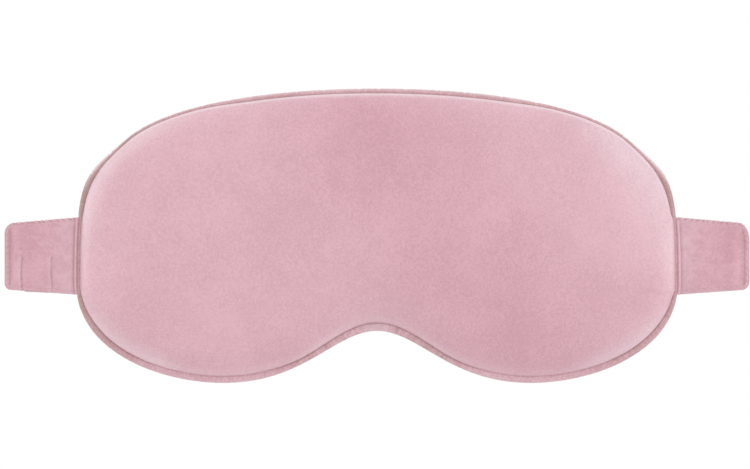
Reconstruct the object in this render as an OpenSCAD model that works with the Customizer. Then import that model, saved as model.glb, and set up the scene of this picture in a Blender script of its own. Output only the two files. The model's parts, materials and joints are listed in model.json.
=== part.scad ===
// Padded eye massager mask: satin covers over wadding and foam, two coin vibration motors,
// a heating film, a small control board, a charging socket in the left side tab,
// and a two-piece elastic head strap that closes with hook and loop at the back.
// Millimetres. X runs to the right of the front view, Z is up, and the front faces -Y.
// Y = 0 is the flat middle of the face side.

/* [Mask outline] */

// Width of the padded mask across its side seams, without the tabs
mask_w = 205; // [190:1:220]
// Height of the top edge above the centre line
top_rise = 50.1; // [46:0.1:54]
// How far across the shoulder point of the top edge sits
shoulder_x = 85.75; // [80:0.25:90]
// Height of the shoulder point
shoulder_z = 32.6; // [28:0.1:36]
// Downward slope of the edge at the shoulder, in degrees
shoulder_slope = 41.3; // [35:0.1:48]
// Depth of the widest point below the centre line
side_drop = 16; // [10:0.5:20]
// Distance between the lowest points of the two cheek lobes
lobe_spacing = 104.5; // [96:0.5:112]
// Depth of the cheek lobes below the centre line
lobe_drop = 50.2; // [46:0.1:54]
// Depth of the top of the nose notch below the centre line
notch_drop = 32.5; // [28:0.1:36]

/* [Layers] */

// Crown of the front panel in front of the seam
front_h = 8; // [7:0.25:10]
// Crown of the face side behind the seam
rear_h = 6; // [5.5:0.25:8]
// Width over which the panels round down to the seam
edge_round = 16; // [12:0.5:20]
// Satin cover thickness
cover_t = 0.5; // [0.4:0.05:0.8]
// Width of the rolled binding round the seam
rim_w = 2; // [1.4:0.1:2.6]
// Thickness of the rolled binding
rim_t = 2.8; // [2.2:0.1:3.6]
// Heating film thickness
film_t = 0.3; // [0.2:0.05:0.5]
// How far the heating film stays in from the edge of the foam core
film_inset = 12; // [9:0.5:16]
// Width of the two conductor bars in the heating film
bar_w = 3; // [2:0.25:4]
// Gap between a cover and the padding under it
fabric_gap = 0.15; // [0.1:0.05:0.3]

/* [Motors] */

// Diameter of a coin vibration motor
motor_d = 12; // [10:0.5:14]
// Thickness of a coin vibration motor
motor_t = 3.4; // [3.2:0.1:4]
// Distance between the two motors
motor_spacing = 68; // [60:1:76]
// Height of the motors above the centre line
motor_z = 2; // [-4:0.5:8]
// Sheet thickness of the motor case
can_t = 0.25; // [0.2:0.05:0.35]
// Thickness of the motor base plate
base_t = 0.3; // [0.25:0.05:0.4]
// Diameter of the motor shaft
shaft_d = 0.8; // [0.6:0.1:1]
// Running gap between shaft and rotor, on the radius
shaft_gap = 0.05; // [0.03:0.01:0.08]
// Gap between the rotor and the case wall
rotor_gap = 0.45; // [0.3:0.05:0.6]
// Thickness of the ring magnet
magnet_t = 0.8; // [0.6:0.1:0.9]
// Gap between magnet and rotor
air_gap = 0.2; // [0.15:0.05:0.3]
// Thickness of the rotor plate
plate_t = 0.5; // [0.4:0.05:0.6]
// Thickness of the eccentric weight
weight_t = 0.85; // [0.6:0.05:0.9]
// Clearance round a motor, board or bead in its foam pocket
pocket_gap = 0.1; // [0.05:0.05:0.25]

/* [Control board] */

// Distance of the board's centre from the middle of the mask
board_x = 76; // [70:0.5:80]
// Board size across
board_w = 20; // [17:0.5:24]
// Board size up and down
board_h = 14; // [12:0.5:16]
// Board thickness
board_t = 1; // [0.8:0.1:1.2]
// Diameter of an insulated lead
lead_d = 1; // [0.8:0.1:1.2]
// Gap between the two leads of a pair
lead_gap = 0.3; // [0.2:0.1:0.5]

/* [Side tabs] */

// Length of a side tab outside the mask
tab_len = 25; // [22:0.5:30]
// Height of a tab at the mask
tab_root_h = 26.7; // [25:0.1:30]
// Height of a tab at its outer end
tab_end_h = 23.1; // [22.5:0.1:26]
// Height of the tabs' middle below the centre line
tab_drop = 6.8; // [2:0.1:10]
// Tab thickness
tab_t = 2.8; // [2.5:0.1:3.5]
// Radius of the outer tab corners
tab_corner = 2.6; // [1.5:0.1:4]
// Distance of the charging socket from the side seam
socket_out = 13.5; // [10:0.5:14.5]

/* [Charging socket] */

// Width of the metal socket shell
socket_w = 7.6; // [7:0.1:8.6]
// Thickness of the metal socket shell
socket_h = 2.5; // [2.3:0.1:3]
// Depth of the socket
socket_depth = 6; // [5:0.1:7.4]
// Sheet thickness of the socket shell
shell_t = 0.25; // [0.2:0.05:0.35]
// Width of the tongue inside the socket
tongue_w = 4.4; // [3.6:0.1:5]
// Thickness of the tongue inside the socket
tongue_t = 0.6; // [0.5:0.05:0.8]

/* [Head strap] */

// Strap width
strap_w = 22; // [20:0.5:22]
// Strap thickness
strap_t = 1.4; // [1.1:0.1:1.8]
// Angle between the mask and the strap where it leaves the tab, in degrees
strap_angle = 55; // [45:1:62]
// Length over which the two strap halves lap at the back
strap_lap = 24; // [20:1:30]
// Length of strap sewn flat to the back of a tab
sewn_len = 10; // [8:0.5:12]
// Radius of the folded hem the strap swings on
hem_r = 1.2; // [1:0.1:1.5]
// How far the fold sits in from the end of the tab
fold_in = 3.1; // [2.8:0.1:4]
// Thickness of the hook patch and of the loop patch
patch_t = 1; // [0.7:0.1:1.3]
// Clearance between pieces that move past one another
strap_gap = 0.3; // [0.25:0.05:0.4]

/* [Hidden] */

$fn = 64;

// Curve handles that give the outline its roundness
top_pull = 34.3;
shoulder_pull_in = 19.5;
shoulder_pull_out = 18.6;
side_pull_up = 37.4;
side_pull_down = 23.8;
lobe_pull_out = 21.4;
lobe_pull_in = 27.8;
notch_pull = 14.2;

// Places along Y
y_seam = -rear_h;
core_t = motor_t + 2 * pocket_gap;
y_core_front = y_seam - core_t / 2;
y_core_back = y_seam + core_t / 2;
y_film_back = y_core_back + film_t;
y_motor = y_seam - motor_t / 2;
y_board = y_core_front + pocket_gap;
y_board_top = y_board + board_t;
y_tab_front = y_seam - tab_t / 2;
y_tab_back = y_seam + tab_t / 2;

// Distances in from the outline
panel_in = rim_w + fabric_gap;
pad_x = edge_round - cover_t - fabric_gap;
pad_front_h = front_h - cover_t - fabric_gap;
pad_rear_h = rear_h - cover_t - fabric_gap;
front_start = asin((core_t / 2) / pad_front_h);
rear_start = asin((core_t / 2 + film_t) / pad_rear_h);
core_in = panel_in + edge_round - pad_x * cos(max(front_start, rear_start));

// Motor sizes
motor_x = motor_spacing / 2;
rotor_r = motor_d / 2 - can_t - rotor_gap;
hub_wall = 0.7;
hub_clear = 0.4;
hub_r = shaft_d / 2 + hub_wall;
y_magnet = y_motor + base_t;
y_plate = y_magnet + magnet_t + air_gap;
y_weight = y_plate + plate_t;
y_case_in = y_motor + motor_t - can_t;
magnet_in = 1.7;
magnet_r = motor_d / 2 - magnet_in;
coil_clear = 0.6;
coil_t = 0.7;
coil_hole_d = 1.2;
coil_r = (rotor_r - hub_r) / 2 - coil_clear;
coil_ring_r = (rotor_r + hub_r) / 2;
coil_turn = 42;
cut_over = 1;

// Board pieces
tab_z = -tab_drop;
connector_h = 2 * (y_seam - y_board_top);
connector_wall = 0.6;
connector_w = 2 * lead_d + lead_gap + 2 * connector_wall;
connector_d = 3;
connector_space = 0.3;
chip_w = 5;
chip_h = 4;
chip_shift = 0.5;
cutoff_w = 6.5;
cutoff_h = 2.4;
cutoff_t = 1.1;
cutoff_shift = 2;
cutoff_in = 2;
lead_off = (lead_d + lead_gap) / 2;
channel_w = 2 * lead_d + lead_gap + 4 * pocket_gap;
board_top_z = tab_z + board_h / 2;
board_end_x = -board_x - board_w / 2;
heater_x = -board_x + board_w / 2;
heater_z = tab_z - board_h / 4;
heater_off = 1.6;
heater_slot_w = 2 * heater_off + lead_d + 2 * connector_wall;
post_r = 0.9;
bar_out = 4;
bar_space = 1;
bar_len = 118;
bar_rise = 12;
bar_x0 = heater_x + bar_out;
bar_x1 = bar_x0 + bar_w + bar_space;
bar_top = motor_z + motor_d / 2 + bar_rise;
bead_x = 14;
bead_r = 1.2;

// Tabs and socket
side_x = mask_w / 2;
tab_end_x = side_x + tab_len;
tab_clear = 0.15;
tab_tuck = 12;
cut_depth = 20;
insert_back = 1.4;
tongue_set = 1;
bulge_rise = 5.8;
mouth_cut = 2;
socket_x = side_x + socket_out;
socket_z = tab_z - tab_root_h / 2 + (tab_root_h - tab_end_h) / 2 * socket_out / tab_len;
y_socket = y_tab_back - cover_t - pocket_gap - socket_h / 2;
bulge_w = socket_w + 2 * (cover_t + pocket_gap);
bulge_top = socket_z + socket_depth + bulge_rise;
y_bulge = y_socket - socket_h / 2 - pocket_gap - cover_t;

// Lead routes, as [x, z] points of level and upright runs
lead_rise = 7;
bead_below = 4;
lead_ease = 0.6;
motor_lead_z = motor_z + motor_d / 2 + lead_rise;
bead_lead_z = motor_lead_z - 2 * (lead_d + lead_gap);
bead_z = bead_lead_z - bead_below;
right_slot_x = board_end_x + connector_w / 2 + connector_space;
bead_slot_x = right_slot_x + connector_w + connector_space;
left_slot_x = -board_x + board_w / 4;
supply_route = [[-socket_x, socket_z + socket_depth], [-socket_x, tab_z], [board_end_x, tab_z]];
heater_route = [[heater_x, heater_z], [bar_x1, heater_z]];
left_motor_route = [[left_slot_x, board_top_z], [left_slot_x, motor_z], [-motor_x - motor_d / 2, motor_z]];
right_motor_route = [
  [right_slot_x, board_top_z], [right_slot_x, motor_lead_z],
  [motor_x, motor_lead_z], [motor_x, motor_z + motor_d / 2]
];
bead_route = [
  [bead_slot_x, board_top_z], [bead_slot_x, bead_lead_z],
  [-bead_x, bead_lead_z], [-bead_x, bead_z + bead_r]
];

// Strap arc
fold_x = tab_end_x - fold_in;
fold_y = y_tab_back + strap_gap + hem_r;
arc_r = fold_x / sin(strap_angle);
arc_y = fold_y - arc_r * cos(strap_angle);
lap_angle = asin(strap_lap / 2 / arc_r);
sewn_gap = 0.03;
strap_step = strap_t + 2 * (patch_t + sewn_gap) + strap_gap;
patch_in = 1;
patch_w = strap_w - 2 * patch_in;
patch_angle = asin((strap_lap / 2 - patch_in / 2) / arc_r);
// Angles over which the outer half steps out before the lap
step_start = 8;
step_turn = 6.5;

// Points along each quarter of the outline
top_n = 12;
shoulder_n = 8;
side_n = 9;
lobe_n = 8;
// Rings from the seam up to the flat of a panel
dome_n = 7;
// Sides round the binding and round a lead
rim_n = 8;
lead_n = 8;
// Steps along a strap half, along a patch and round a tab corner
strap_n = 48;
patch_n = 8;
corner_n = 6;

// Curve helpers

function curve_at(c, t) = pow(1 - t, 3) * c[0] + 3 * t * pow(1 - t, 2) * c[1]
  + 3 * t * t * (1 - t) * c[2] + pow(t, 3) * c[3];
function slope_at(c, t) = 3 * pow(1 - t, 2) * (c[1] - c[0]) + 6 * t * (1 - t) * (c[2] - c[1])
  + 3 * t * t * (c[3] - c[2]);
function unit(v) = v / norm(v);
function smooth(t) = t <= 0 ? 0 : t >= 1 ? 1 : t * t * (3 - 2 * t);

// Right half of the outline, clockwise from the top to the nose notch
top_p = [0, top_rise];
shoulder_p = [shoulder_x, shoulder_z];
shoulder_d = [cos(shoulder_slope), -sin(shoulder_slope)];
side_p = [side_x, -side_drop];
lobe_p = [lobe_spacing / 2, -lobe_drop];
notch_p = [0, -notch_drop];
curves = [
  [top_p, top_p + [top_pull, 0], shoulder_p - shoulder_pull_in * shoulder_d, shoulder_p],
  [shoulder_p, shoulder_p + shoulder_pull_out * shoulder_d, side_p + [0, side_pull_up], side_p],
  [side_p, side_p - [0, side_pull_down], lobe_p + [lobe_pull_out, 0], lobe_p],
  [lobe_p, lobe_p - [lobe_pull_in, 0], notch_p + [notch_pull, 0], notch_p]
];
steps = [top_n, shoulder_n, side_n, lobe_n];

// Each outline point carries its inward direction: [x, z, inward x, inward z]
function edge_point(c, t) = let (p = curve_at(c, t), d = unit(slope_at(c, t)))
  [p[0], p[1], d[1], -d[0]];
half_edge = [
  for (k = [0:3]) for (i = [0:steps[k] - 1]) edge_point(curves[k], i / steps[k]),
  edge_point(curves[3], 1)
];
half_n = len(half_edge);
outline = [
  for (e = half_edge) e,
  for (i = [half_n - 2:-1:1]) [-half_edge[i][0], half_edge[i][1], -half_edge[i][2], half_edge[i][3]]
];
outline_n = len(outline);

// The outline moved in by a distance, flat or as a ring at height y
function inset(d) = [for (e = outline) [e[0] + d * e[2], e[1] + d * e[3]]];
function ring(d, y) = [for (e = outline) [e[0] + d * e[2], y, e[1] + d * e[3]]];

// Closed skin through a list of rings, capped at the first and last
module skin(rings, turned) {
  n = len(rings[0]);
  m = len(rings);
  points = [for (r = rings) for (p = r) p];
  sides = [
    for (j = [0:m - 2]) for (i = [0:n - 1]) let (k = (i + 1) % n)
      each [[j * n + i, j * n + k, (j + 1) * n + k], [j * n + i, (j + 1) * n + k, (j + 1) * n + i]]
  ];
  first = [for (i = [n - 1:-1:0]) i];
  last = [for (i = [0:n - 1]) (m - 1) * n + i];
  faces = concat(sides, [first], [last]);
  polyhedron(points, turned ? [for (f = faces) [for (i = [len(f) - 1:-1:0]) f[i]]] : faces);
}

// Closed skin through rings that join up end to end
module loop_skin(rings) {
  n = len(rings[0]);
  m = len(rings);
  points = [for (r = rings) for (p = r) p];
  faces = [
    for (j = [0:m - 1]) for (i = [0:n - 1]) let (k = (i + 1) % n, l = (j + 1) % m)
      each [[j * n + i, j * n + k, l * n + k], [j * n + i, l * n + k, l * n + i]]
  ];
  polyhedron(points, faces);
}

// Flat piece in the XZ plane between two places along Y
module slab(y0, y1) {
  translate([0, y1, 0])
    rotate([90, 0, 0])
      linear_extrude(height = y1 - y0)
        children();
}

// Rounded panel rings from angle a0 up to the flat: way is -1 for the front and 1 for the face side
function dome(x_size, h_size, way, a0) = [
  for (j = [0:dome_n]) let (a = a0 + (90 - a0) * j / dome_n)
    ring(panel_in + edge_round - x_size * cos(a), y_seam + way * h_size * sin(a))
];

// Padding rings above the flat face that starts them
function pad_dome(h, way, a0) = [
  for (j = [1:dome_n]) let (a = a0 + (90 - a0) * j / dome_n)
    ring(max(core_in, panel_in + edge_round - pad_x * cos(a)), y_seam + way * h * sin(a))
];

// Covers and padding

module cover(h, way) {
  outer = dome(edge_round, h, way, 0);
  inner = dome(edge_round - cover_t, h - cover_t, way, 0);
  skin(concat([for (j = [dome_n:-1:0]) outer[j]], inner), way > 0);
}

module front_cover() {
  color("#dcb0ba") cover(front_h, -1);
}

module rear_cover() {
  color("#d3a3af") cover(rear_h, 1);
}

module edge_binding() {
  rings = [
    for (e = outline) [
      for (i = [0:rim_n - 1]) let (a = 360 * i / rim_n, d = rim_w / 2 * (1 - cos(a)))
        [e[0] + d * e[2], y_seam + rim_t / 2 * sin(a), e[1] + d * e[3]]
    ]
  ];
  color("#c39a9e") loop_skin(rings);
}

module front_wadding() {
  back = ring(core_in, y_core_front);
  color("#f4f1ea") skin(concat([back], pad_dome(pad_front_h, -1, front_start)), false);
}

module face_foam() {
  front = ring(core_in, y_film_back);
  color("#efe6d2") skin(concat([front], pad_dome(pad_rear_h, 1, rear_start)), true);
}

module core_foam() {
  color("#e9e2c4") slab(y_core_front, y_core_back) difference() {
    polygon(inset(core_in));
    core_pockets();
  }
}

// Pockets and lead channels through the foam core
module core_pockets() {
  for (s = [-1, 1]) translate([s * motor_x, motor_z]) circle(motor_d / 2 + pocket_gap);
  translate([-board_x, tab_z]) square([board_w + 2 * pocket_gap, board_h + 2 * pocket_gap], center = true);
  translate([-bead_x, bead_z]) circle(bead_r + pocket_gap);
  channel(supply_route, channel_w);
  channel(left_motor_route, channel_w);
  channel(right_motor_route, channel_w);
  channel(bead_route, channel_w);
  channel(heater_route, 2 * (heater_off + post_r + pocket_gap));
  translate([right_slot_x, board_top_z]) square([bead_slot_x - right_slot_x, motor_lead_z - board_top_z]);
}

// Straight-sided channel along a route of level and upright runs
module channel(route, w) {
  for (i = [0:len(route) - 2]) let (a = route[i], b = route[i + 1])
    translate([min(a[0], b[0]) - w / 2, min(a[1], b[1]) - w / 2])
      square([abs(a[0] - b[0]) + w, abs(a[1] - b[1]) + w]);
}

// Heater

module film_area() {
  polygon(inset(core_in + film_inset));
}

// Two conductor strips: the upper one comes down to the board, the lower one starts beside it
module bar_area(gap) {
  w = bar_w + 2 * gap;
  translate([bar_x0 - w / 2, heater_z + heater_off - w / 2]) square([w, bar_top - heater_z - heater_off + w]);
  translate([bar_x0 - w / 2, bar_top - w / 2]) square([bar_len + w, w]);
  translate([bar_x1 - w / 2, heater_z - heater_off - w / 2]) square([bar_len + bar_x0 - bar_x1 + w, w]);
}

module heater_film() {
  color("#3c3a3d") slab(y_core_back, y_film_back) difference() {
    film_area();
    bar_area(pocket_gap);
  }
}

module heater_bars() {
  color("#b98d52") {
    slab(y_core_back, y_film_back) bar_area(0);
    slab(y_seam - lead_d / 2, y_core_back) {
      translate([bar_x0, heater_z + heater_off]) circle(post_r);
      translate([bar_x1, heater_z - heater_off]) circle(post_r);
    }
  }
}

module temperature_bead() {
  color("#2d2a28") translate([-bead_x, 0, bead_z]) slab(y_seam - lead_d / 2, y_core_back) circle(bead_r);
}

// Leads

// Round tube through points that lie in the plane y
function side_of(a, b) = let (d = unit(b - a)) [-d[1], d[0]];
function lead_ring(p, s, y) = [
  for (i = [0:lead_n - 1]) let (a = 360 * i / lead_n, r = lead_d / 2 * cos(a))
    [p[0] + r * s[0], y + lead_d / 2 * sin(a), p[1] + r * s[1]]
];
module tube(route, y) {
  n = len(route);
  sides = [
    for (i = [0:n - 1]) i == 0 ? side_of(route[0], route[1])
      : i == n - 1 ? side_of(route[n - 2], route[n - 1])
      : let (u = side_of(route[i - 1], route[i]), v = side_of(route[i], route[i + 1])) (u + v) / (1 + u * v)
  ];
  skin([for (i = [0:n - 1]) lead_ring(route[i], sides[i], y)], true);
}

// Route with each inner corner cut at 45 degrees
function eased(route, r) = let (n = len(route)) [
  route[0],
  for (i = [1:n - 2]) each [
    route[i] + r * unit(route[i - 1] - route[i]),
    route[i] + r * unit(route[i + 1] - route[i])
  ],
  route[n - 1]
];

// Two leads side by side: turns gives the side the upper lead takes at each point.
// The ends stay square, with no shift along the run.
function across(o, a, b) = let (d = unit(b - a)) o - (o * d) * d;
function beside(route, turns, s) = let (n = len(route)) [
  for (i = [0:n - 1]) let (o = lead_off * s * [turns[i], 1])
    route[i] + (i == 0 ? across(o, route[0], route[1])
      : i == n - 1 ? across(o, route[n - 2], route[n - 1]) : o)
];
module pair(route, turns) {
  for (s = [-1, 1]) tube(eased(beside(route, turns, s), lead_ease), y_seam);
}

module supply_leads() {
  color("#8c2f2f") pair(supply_route, [-1, -1, -1]);
}

module heater_leads() {
  color("#7a5a2c") {
    tube([[heater_x, heater_z + heater_off], [bar_x0 - post_r, heater_z + heater_off]], y_seam);
    tube([[heater_x, heater_z - heater_off], [bar_x1 - post_r, heater_z - heater_off]], y_seam);
  }
}

module left_motor_leads() {
  color("#3a4f8a") pair(left_motor_route, [-1, -1, -1]);
}

module right_motor_leads() {
  color("#3a4f8a") pair(right_motor_route, [-1, -1, 1, 1]);
}

module bead_leads() {
  color("#6d6a66") pair(bead_route, [-1, -1, 1, 1]);
}

// Control board

module control_board() {
  color("#2f5a3c") translate([-board_x, y_board + board_t / 2, tab_z])
    cube([board_w, board_t, board_h], center = true);
}

module on_board(x, z, w, h, t) {
  translate([-board_x + x - w / 2, y_board_top, tab_z + z - h / 2]) cube([w, t, h]);
}

module control_chip() {
  color("#242426") on_board(0, -chip_shift, chip_w, chip_h, connector_h);
}

module thermal_cutoff() {
  color("#c9c4b4") on_board(-cutoff_shift, -board_h / 2 + cutoff_in, cutoff_w, cutoff_h, cutoff_t);
}

module lead_connectors() {
  color("#e8e4da") {
    on_board(-board_w / 2 + connector_d / 2, 0, connector_d, connector_w, connector_h);
    on_board(board_w / 2 - connector_d / 2, heater_z - tab_z, connector_d, heater_slot_w, connector_h);
    for (x = [right_slot_x, bead_slot_x, left_slot_x])
      on_board(x + board_x, board_h / 2 - connector_d / 2, connector_w, connector_d, connector_h);
  }
}

// Coin motors, side -1 on the left and 1 on the right

module at_motor(side) {
  translate([side * motor_x, 0, motor_z]) children();
}

module along_y(y0, y1) {
  translate([0, y1, 0]) rotate([90, 0, 0]) linear_extrude(height = y1 - y0) children();
}

module motor_case(side) {
  color("#b9bcc0") at_motor(side) difference() {
    along_y(y_magnet, y_motor + motor_t) circle(motor_d / 2);
    along_y(y_magnet - cut_over, y_case_in) circle(motor_d / 2 - can_t);
  }
}

module motor_base(side) {
  color("#9da0a4") at_motor(side) along_y(y_motor, y_magnet) circle(motor_d / 2);
}

module motor_magnet(side) {
  color("#55565a") at_motor(side) along_y(y_magnet, y_magnet + magnet_t) difference() {
    circle(magnet_r);
    circle(hub_r + hub_clear);
  }
}

module motor_shaft(side) {
  color("#d5d7da") at_motor(side) along_y(y_magnet, y_case_in) circle(shaft_d / 2);
}

module motor_rotor(side) {
  color("#3d6f4a") at_motor(side) difference() {
    union() {
      along_y(y_plate, y_weight) circle(rotor_r);
      along_y(y_plate, y_case_in - air_gap) circle(hub_r);
    }
    along_y(y_plate - cut_over, y_case_in) circle(shaft_d / 2 + shaft_gap);
  }
}

module motor_coils(side) {
  color("#b5703c") at_motor(side) along_y(y_weight, y_weight + coil_t)
    for (a = [90 - coil_turn, 90 + coil_turn]) translate(coil_ring_r * [cos(a), sin(a)]) difference() {
      circle(coil_r);
      circle(d = coil_hole_d);
    }
}

module motor_weight(side) {
  color("#77787c") at_motor(side) along_y(y_weight, y_weight + weight_t) difference() {
    circle(rotor_r);
    circle(hub_r + hub_clear);
    translate([-motor_d, 0]) square([2 * motor_d, motor_d]);
  }
}

// Side tabs

function arc(c, r, a0, a1, n) = [for (i = [0:n]) let (a = a0 + (a1 - a0) * i / n) c + r * [cos(a), sin(a)]];

// Tab outline on the right, moved in by a distance at its free edges
module tab_shape(d) {
  taper = atan((tab_root_h - tab_end_h) / 2 / tab_len);
  r = tab_corner - d;
  x = tab_end_x - tab_corner;
  h = tab_end_h / 2 + tan(taper) * tab_corner - tab_corner / cos(taper);
  root_x = side_x - tab_tuck;
  root_h = tab_root_h / 2 + tan(taper) * tab_tuck - d / cos(taper);
  polygon(concat(
    [[root_x, tab_z - root_h]],
    arc([x, tab_z - h], r, -90 + taper, 0, corner_n),
    arc([x, tab_z + h], r, 0, 90 - taper, corner_n),
    [[root_x, tab_z + root_h]]
  ));
}

module on_side(side) {
  if (side > 0) children(); else mirror([1, 0, 0]) children();
}

// Everything inside the mask edge, cut away where a tab meets it
module mask_edge(gap) {
  slab(y_seam - cut_depth, y_seam + cut_depth) polygon(inset(-gap));
}

module tab_block(side) {
  on_side(side) difference() {
    slab(y_tab_front, y_tab_back) tab_shape(0);
    mask_edge(tab_clear);
  }
}

module tab_hollow(side, gap) {
  on_side(side) slab(y_tab_front + cover_t + gap, y_tab_back - cover_t - gap) tab_shape(cover_t + gap);
}

module stadium(w, h) {
  square([w - h, h], center = true);
  for (s = [-1, 1]) translate([s * (w - h) / 2, 0]) circle(h / 2);
}

// Socket outline swept up from its mouth
module socket_body(w, h, z0, z1) {
  translate([-socket_x, y_socket, z0]) linear_extrude(height = z1 - z0) stadium(w, h);
}

module lead_way() {
  translate([-socket_x - channel_w / 2, y_seam - lead_d / 2 - pocket_gap, tab_z - channel_w / 2])
    cube([tab_len, lead_d + 2 * pocket_gap, channel_w]);
  translate([-socket_x - channel_w / 2, y_seam - lead_d / 2 - pocket_gap, socket_z])
    cube([channel_w, lead_d + 2 * pocket_gap, tab_z - socket_z]);
}

module left_tab() {
  color("#d6a7b2") difference() {
    union() {
      tab_block(-1);
      translate([-socket_x - bulge_w / 2, y_bulge, socket_z])
        cube([bulge_w, y_seam - y_bulge, bulge_top - socket_z]);
    }
    tab_hollow(-1, 0);
    socket_body(
      socket_w + 2 * pocket_gap, socket_h + 2 * pocket_gap,
      socket_z - mouth_cut, socket_z + socket_depth + pocket_gap
    );
  }
}

module right_tab() {
  color("#d6a7b2") difference() {
    tab_block(1);
    tab_hollow(1, 0);
  }
}

module tab_lining(side) {
  difference() {
    tab_hollow(side, pocket_gap);
    mask_edge(tab_clear + cover_t);
  }
}

module left_tab_lining() {
  color("#eeeae4") difference() {
    tab_lining(-1);
    translate([-socket_x - bulge_w / 2, y_seam - cut_depth / 2, socket_z - mouth_cut])
      cube([bulge_w, cut_depth, socket_depth + mouth_cut + 2 * pocket_gap]);
    lead_way();
  }
}

module right_tab_lining() {
  color("#eeeae4") tab_lining(1);
}

// Charging socket

module socket_shell() {
  color("#c3c6c9") difference() {
    socket_body(socket_w, socket_h, socket_z, socket_z + socket_depth);
    socket_body(
      socket_w - 2 * shell_t, socket_h - 2 * shell_t,
      socket_z - mouth_cut, socket_z + socket_depth + mouth_cut
    );
  }
}

module socket_insert() {
  w = socket_w - 2 * shell_t - pocket_gap;
  h = socket_h - 2 * shell_t - pocket_gap;
  color("#26262a") union() {
    socket_body(w, h, socket_z + socket_depth - insert_back, socket_z + socket_depth);
    translate([-socket_x - tongue_w / 2, y_socket - tongue_t / 2, socket_z + tongue_set])
      cube([tongue_w, tongue_t, socket_depth - tongue_set - insert_back / 2]);
  }
}

// Head strap

// Path of a strap half from its fold (a = strap_angle) to its tip, as radius at angle a
function strap_r(a, rise) = arc_r + rise * smooth((lap_angle + step_start - a) / step_turn);
function strap_edge(side, rise, off, a0, a1, n) = [
  for (i = [0:n]) let (a = a0 + (a1 - a0) * i / n, r = strap_r(a, rise) + off)
    [side * r * sin(a), arc_y + r * cos(a)]
];
function reversed(v) = [for (i = [len(v) - 1:-1:0]) v[i]];

module strap_band(side, rise, in_off, out_off, a0, a1, n, w) {
  translate([0, 0, tab_z - w / 2])
    linear_extrude(height = w)
      polygon(concat(
        strap_edge(side, rise, out_off, a0, a1, n),
        reversed(strap_edge(side, rise, in_off, a0, a1, n))
      ));
}

module strap_half(side, rise) {
  color("#cf9fab") union() {
    strap_band(side, rise, -strap_t / 2, strap_t / 2, strap_angle, -lap_angle, strap_n, strap_w);
    translate([side * fold_x, fold_y, tab_z - strap_w / 2]) cylinder(r = hem_r, h = strap_w);
  }
}

module left_strap() {
  strap_half(-1, 0);
}

module right_strap() {
  strap_half(1, strap_step);
}

module strap_end(side) {
  x1 = fold_x - hem_r - strap_gap;
  color("#cf9fab") on_side(side)
    translate([x1 - sewn_len, y_tab_back, tab_z - strap_w / 2])
      cube([sewn_len, strap_t, strap_w]);
}

module loop_patch() {
  y0 = strap_t / 2 + sewn_gap;
  color("#d9b4bd") strap_band(-1, 0, y0, y0 + patch_t, patch_angle, -patch_angle, patch_n, patch_w);
}

module hook_patch() {
  y1 = -strap_t / 2 - sewn_gap;
  color("#c490a0") strap_band(1, strap_step, y1 - patch_t, y1, patch_angle, -patch_angle, patch_n, patch_w);
}

front_cover();
rear_cover();
edge_binding();
front_wadding();
core_foam();
face_foam();
heater_film();
heater_bars();
temperature_bead();
bead_leads();
control_board();
control_chip();
thermal_cutoff();
lead_connectors();
supply_leads();
heater_leads();
left_motor_leads();
right_motor_leads();
motor_case(-1);  // left_motor_case
motor_base(-1);  // left_motor_base
motor_magnet(-1);  // left_motor_magnet
motor_shaft(-1);  // left_motor_shaft
motor_rotor(-1);  // left_motor_rotor
motor_coils(-1);  // left_motor_coils
motor_weight(-1);  // left_motor_weight
motor_case(1);  // right_motor_case
motor_base(1);  // right_motor_base
motor_magnet(1);  // right_motor_magnet
motor_shaft(1);  // right_motor_shaft
motor_rotor(1);  // right_motor_rotor
motor_coils(1);  // right_motor_coils
motor_weight(1);  // right_motor_weight
left_tab();
right_tab();
left_tab_lining();
right_tab_lining();
socket_shell();
socket_insert();
strap_end(-1);  // left_strap_end
strap_end(1);  // right_strap_end
left_strap();
right_strap();
loop_patch();
hook_patch();
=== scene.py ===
"""Looks of a padded eye massager mask: satin panels, rolled rim, stitched side tabs, elastic head strap.

Lengths are in mm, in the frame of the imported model, and add_object turns them into metres. The front faces
-Y, +X is to the right of the front view, Z is up. Shares run from 0 to 1.
"""

import json
import math

import bmesh
import bpy
import numpy as np
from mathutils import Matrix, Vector
from mathutils.geometry import delaunay_2d_cdt

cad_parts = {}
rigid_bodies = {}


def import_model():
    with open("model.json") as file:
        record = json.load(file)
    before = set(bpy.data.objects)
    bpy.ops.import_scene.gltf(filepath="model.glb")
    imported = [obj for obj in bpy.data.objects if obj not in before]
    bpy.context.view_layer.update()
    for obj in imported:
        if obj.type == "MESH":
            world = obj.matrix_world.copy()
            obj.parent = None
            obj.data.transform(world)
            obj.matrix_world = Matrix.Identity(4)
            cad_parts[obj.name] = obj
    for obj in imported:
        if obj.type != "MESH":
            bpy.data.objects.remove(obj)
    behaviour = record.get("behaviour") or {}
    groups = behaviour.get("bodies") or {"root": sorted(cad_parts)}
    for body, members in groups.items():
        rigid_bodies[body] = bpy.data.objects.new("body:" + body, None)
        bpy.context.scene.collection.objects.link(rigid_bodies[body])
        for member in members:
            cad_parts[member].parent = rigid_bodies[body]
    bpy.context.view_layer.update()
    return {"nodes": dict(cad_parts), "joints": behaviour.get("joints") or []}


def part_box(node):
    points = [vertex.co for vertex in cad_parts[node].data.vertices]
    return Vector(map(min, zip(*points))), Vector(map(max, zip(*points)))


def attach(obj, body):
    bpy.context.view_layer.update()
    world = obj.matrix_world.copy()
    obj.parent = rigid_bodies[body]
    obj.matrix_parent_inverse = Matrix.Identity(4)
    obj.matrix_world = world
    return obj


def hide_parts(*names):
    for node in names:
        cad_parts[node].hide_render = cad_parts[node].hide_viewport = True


MM = 0.001

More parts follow.
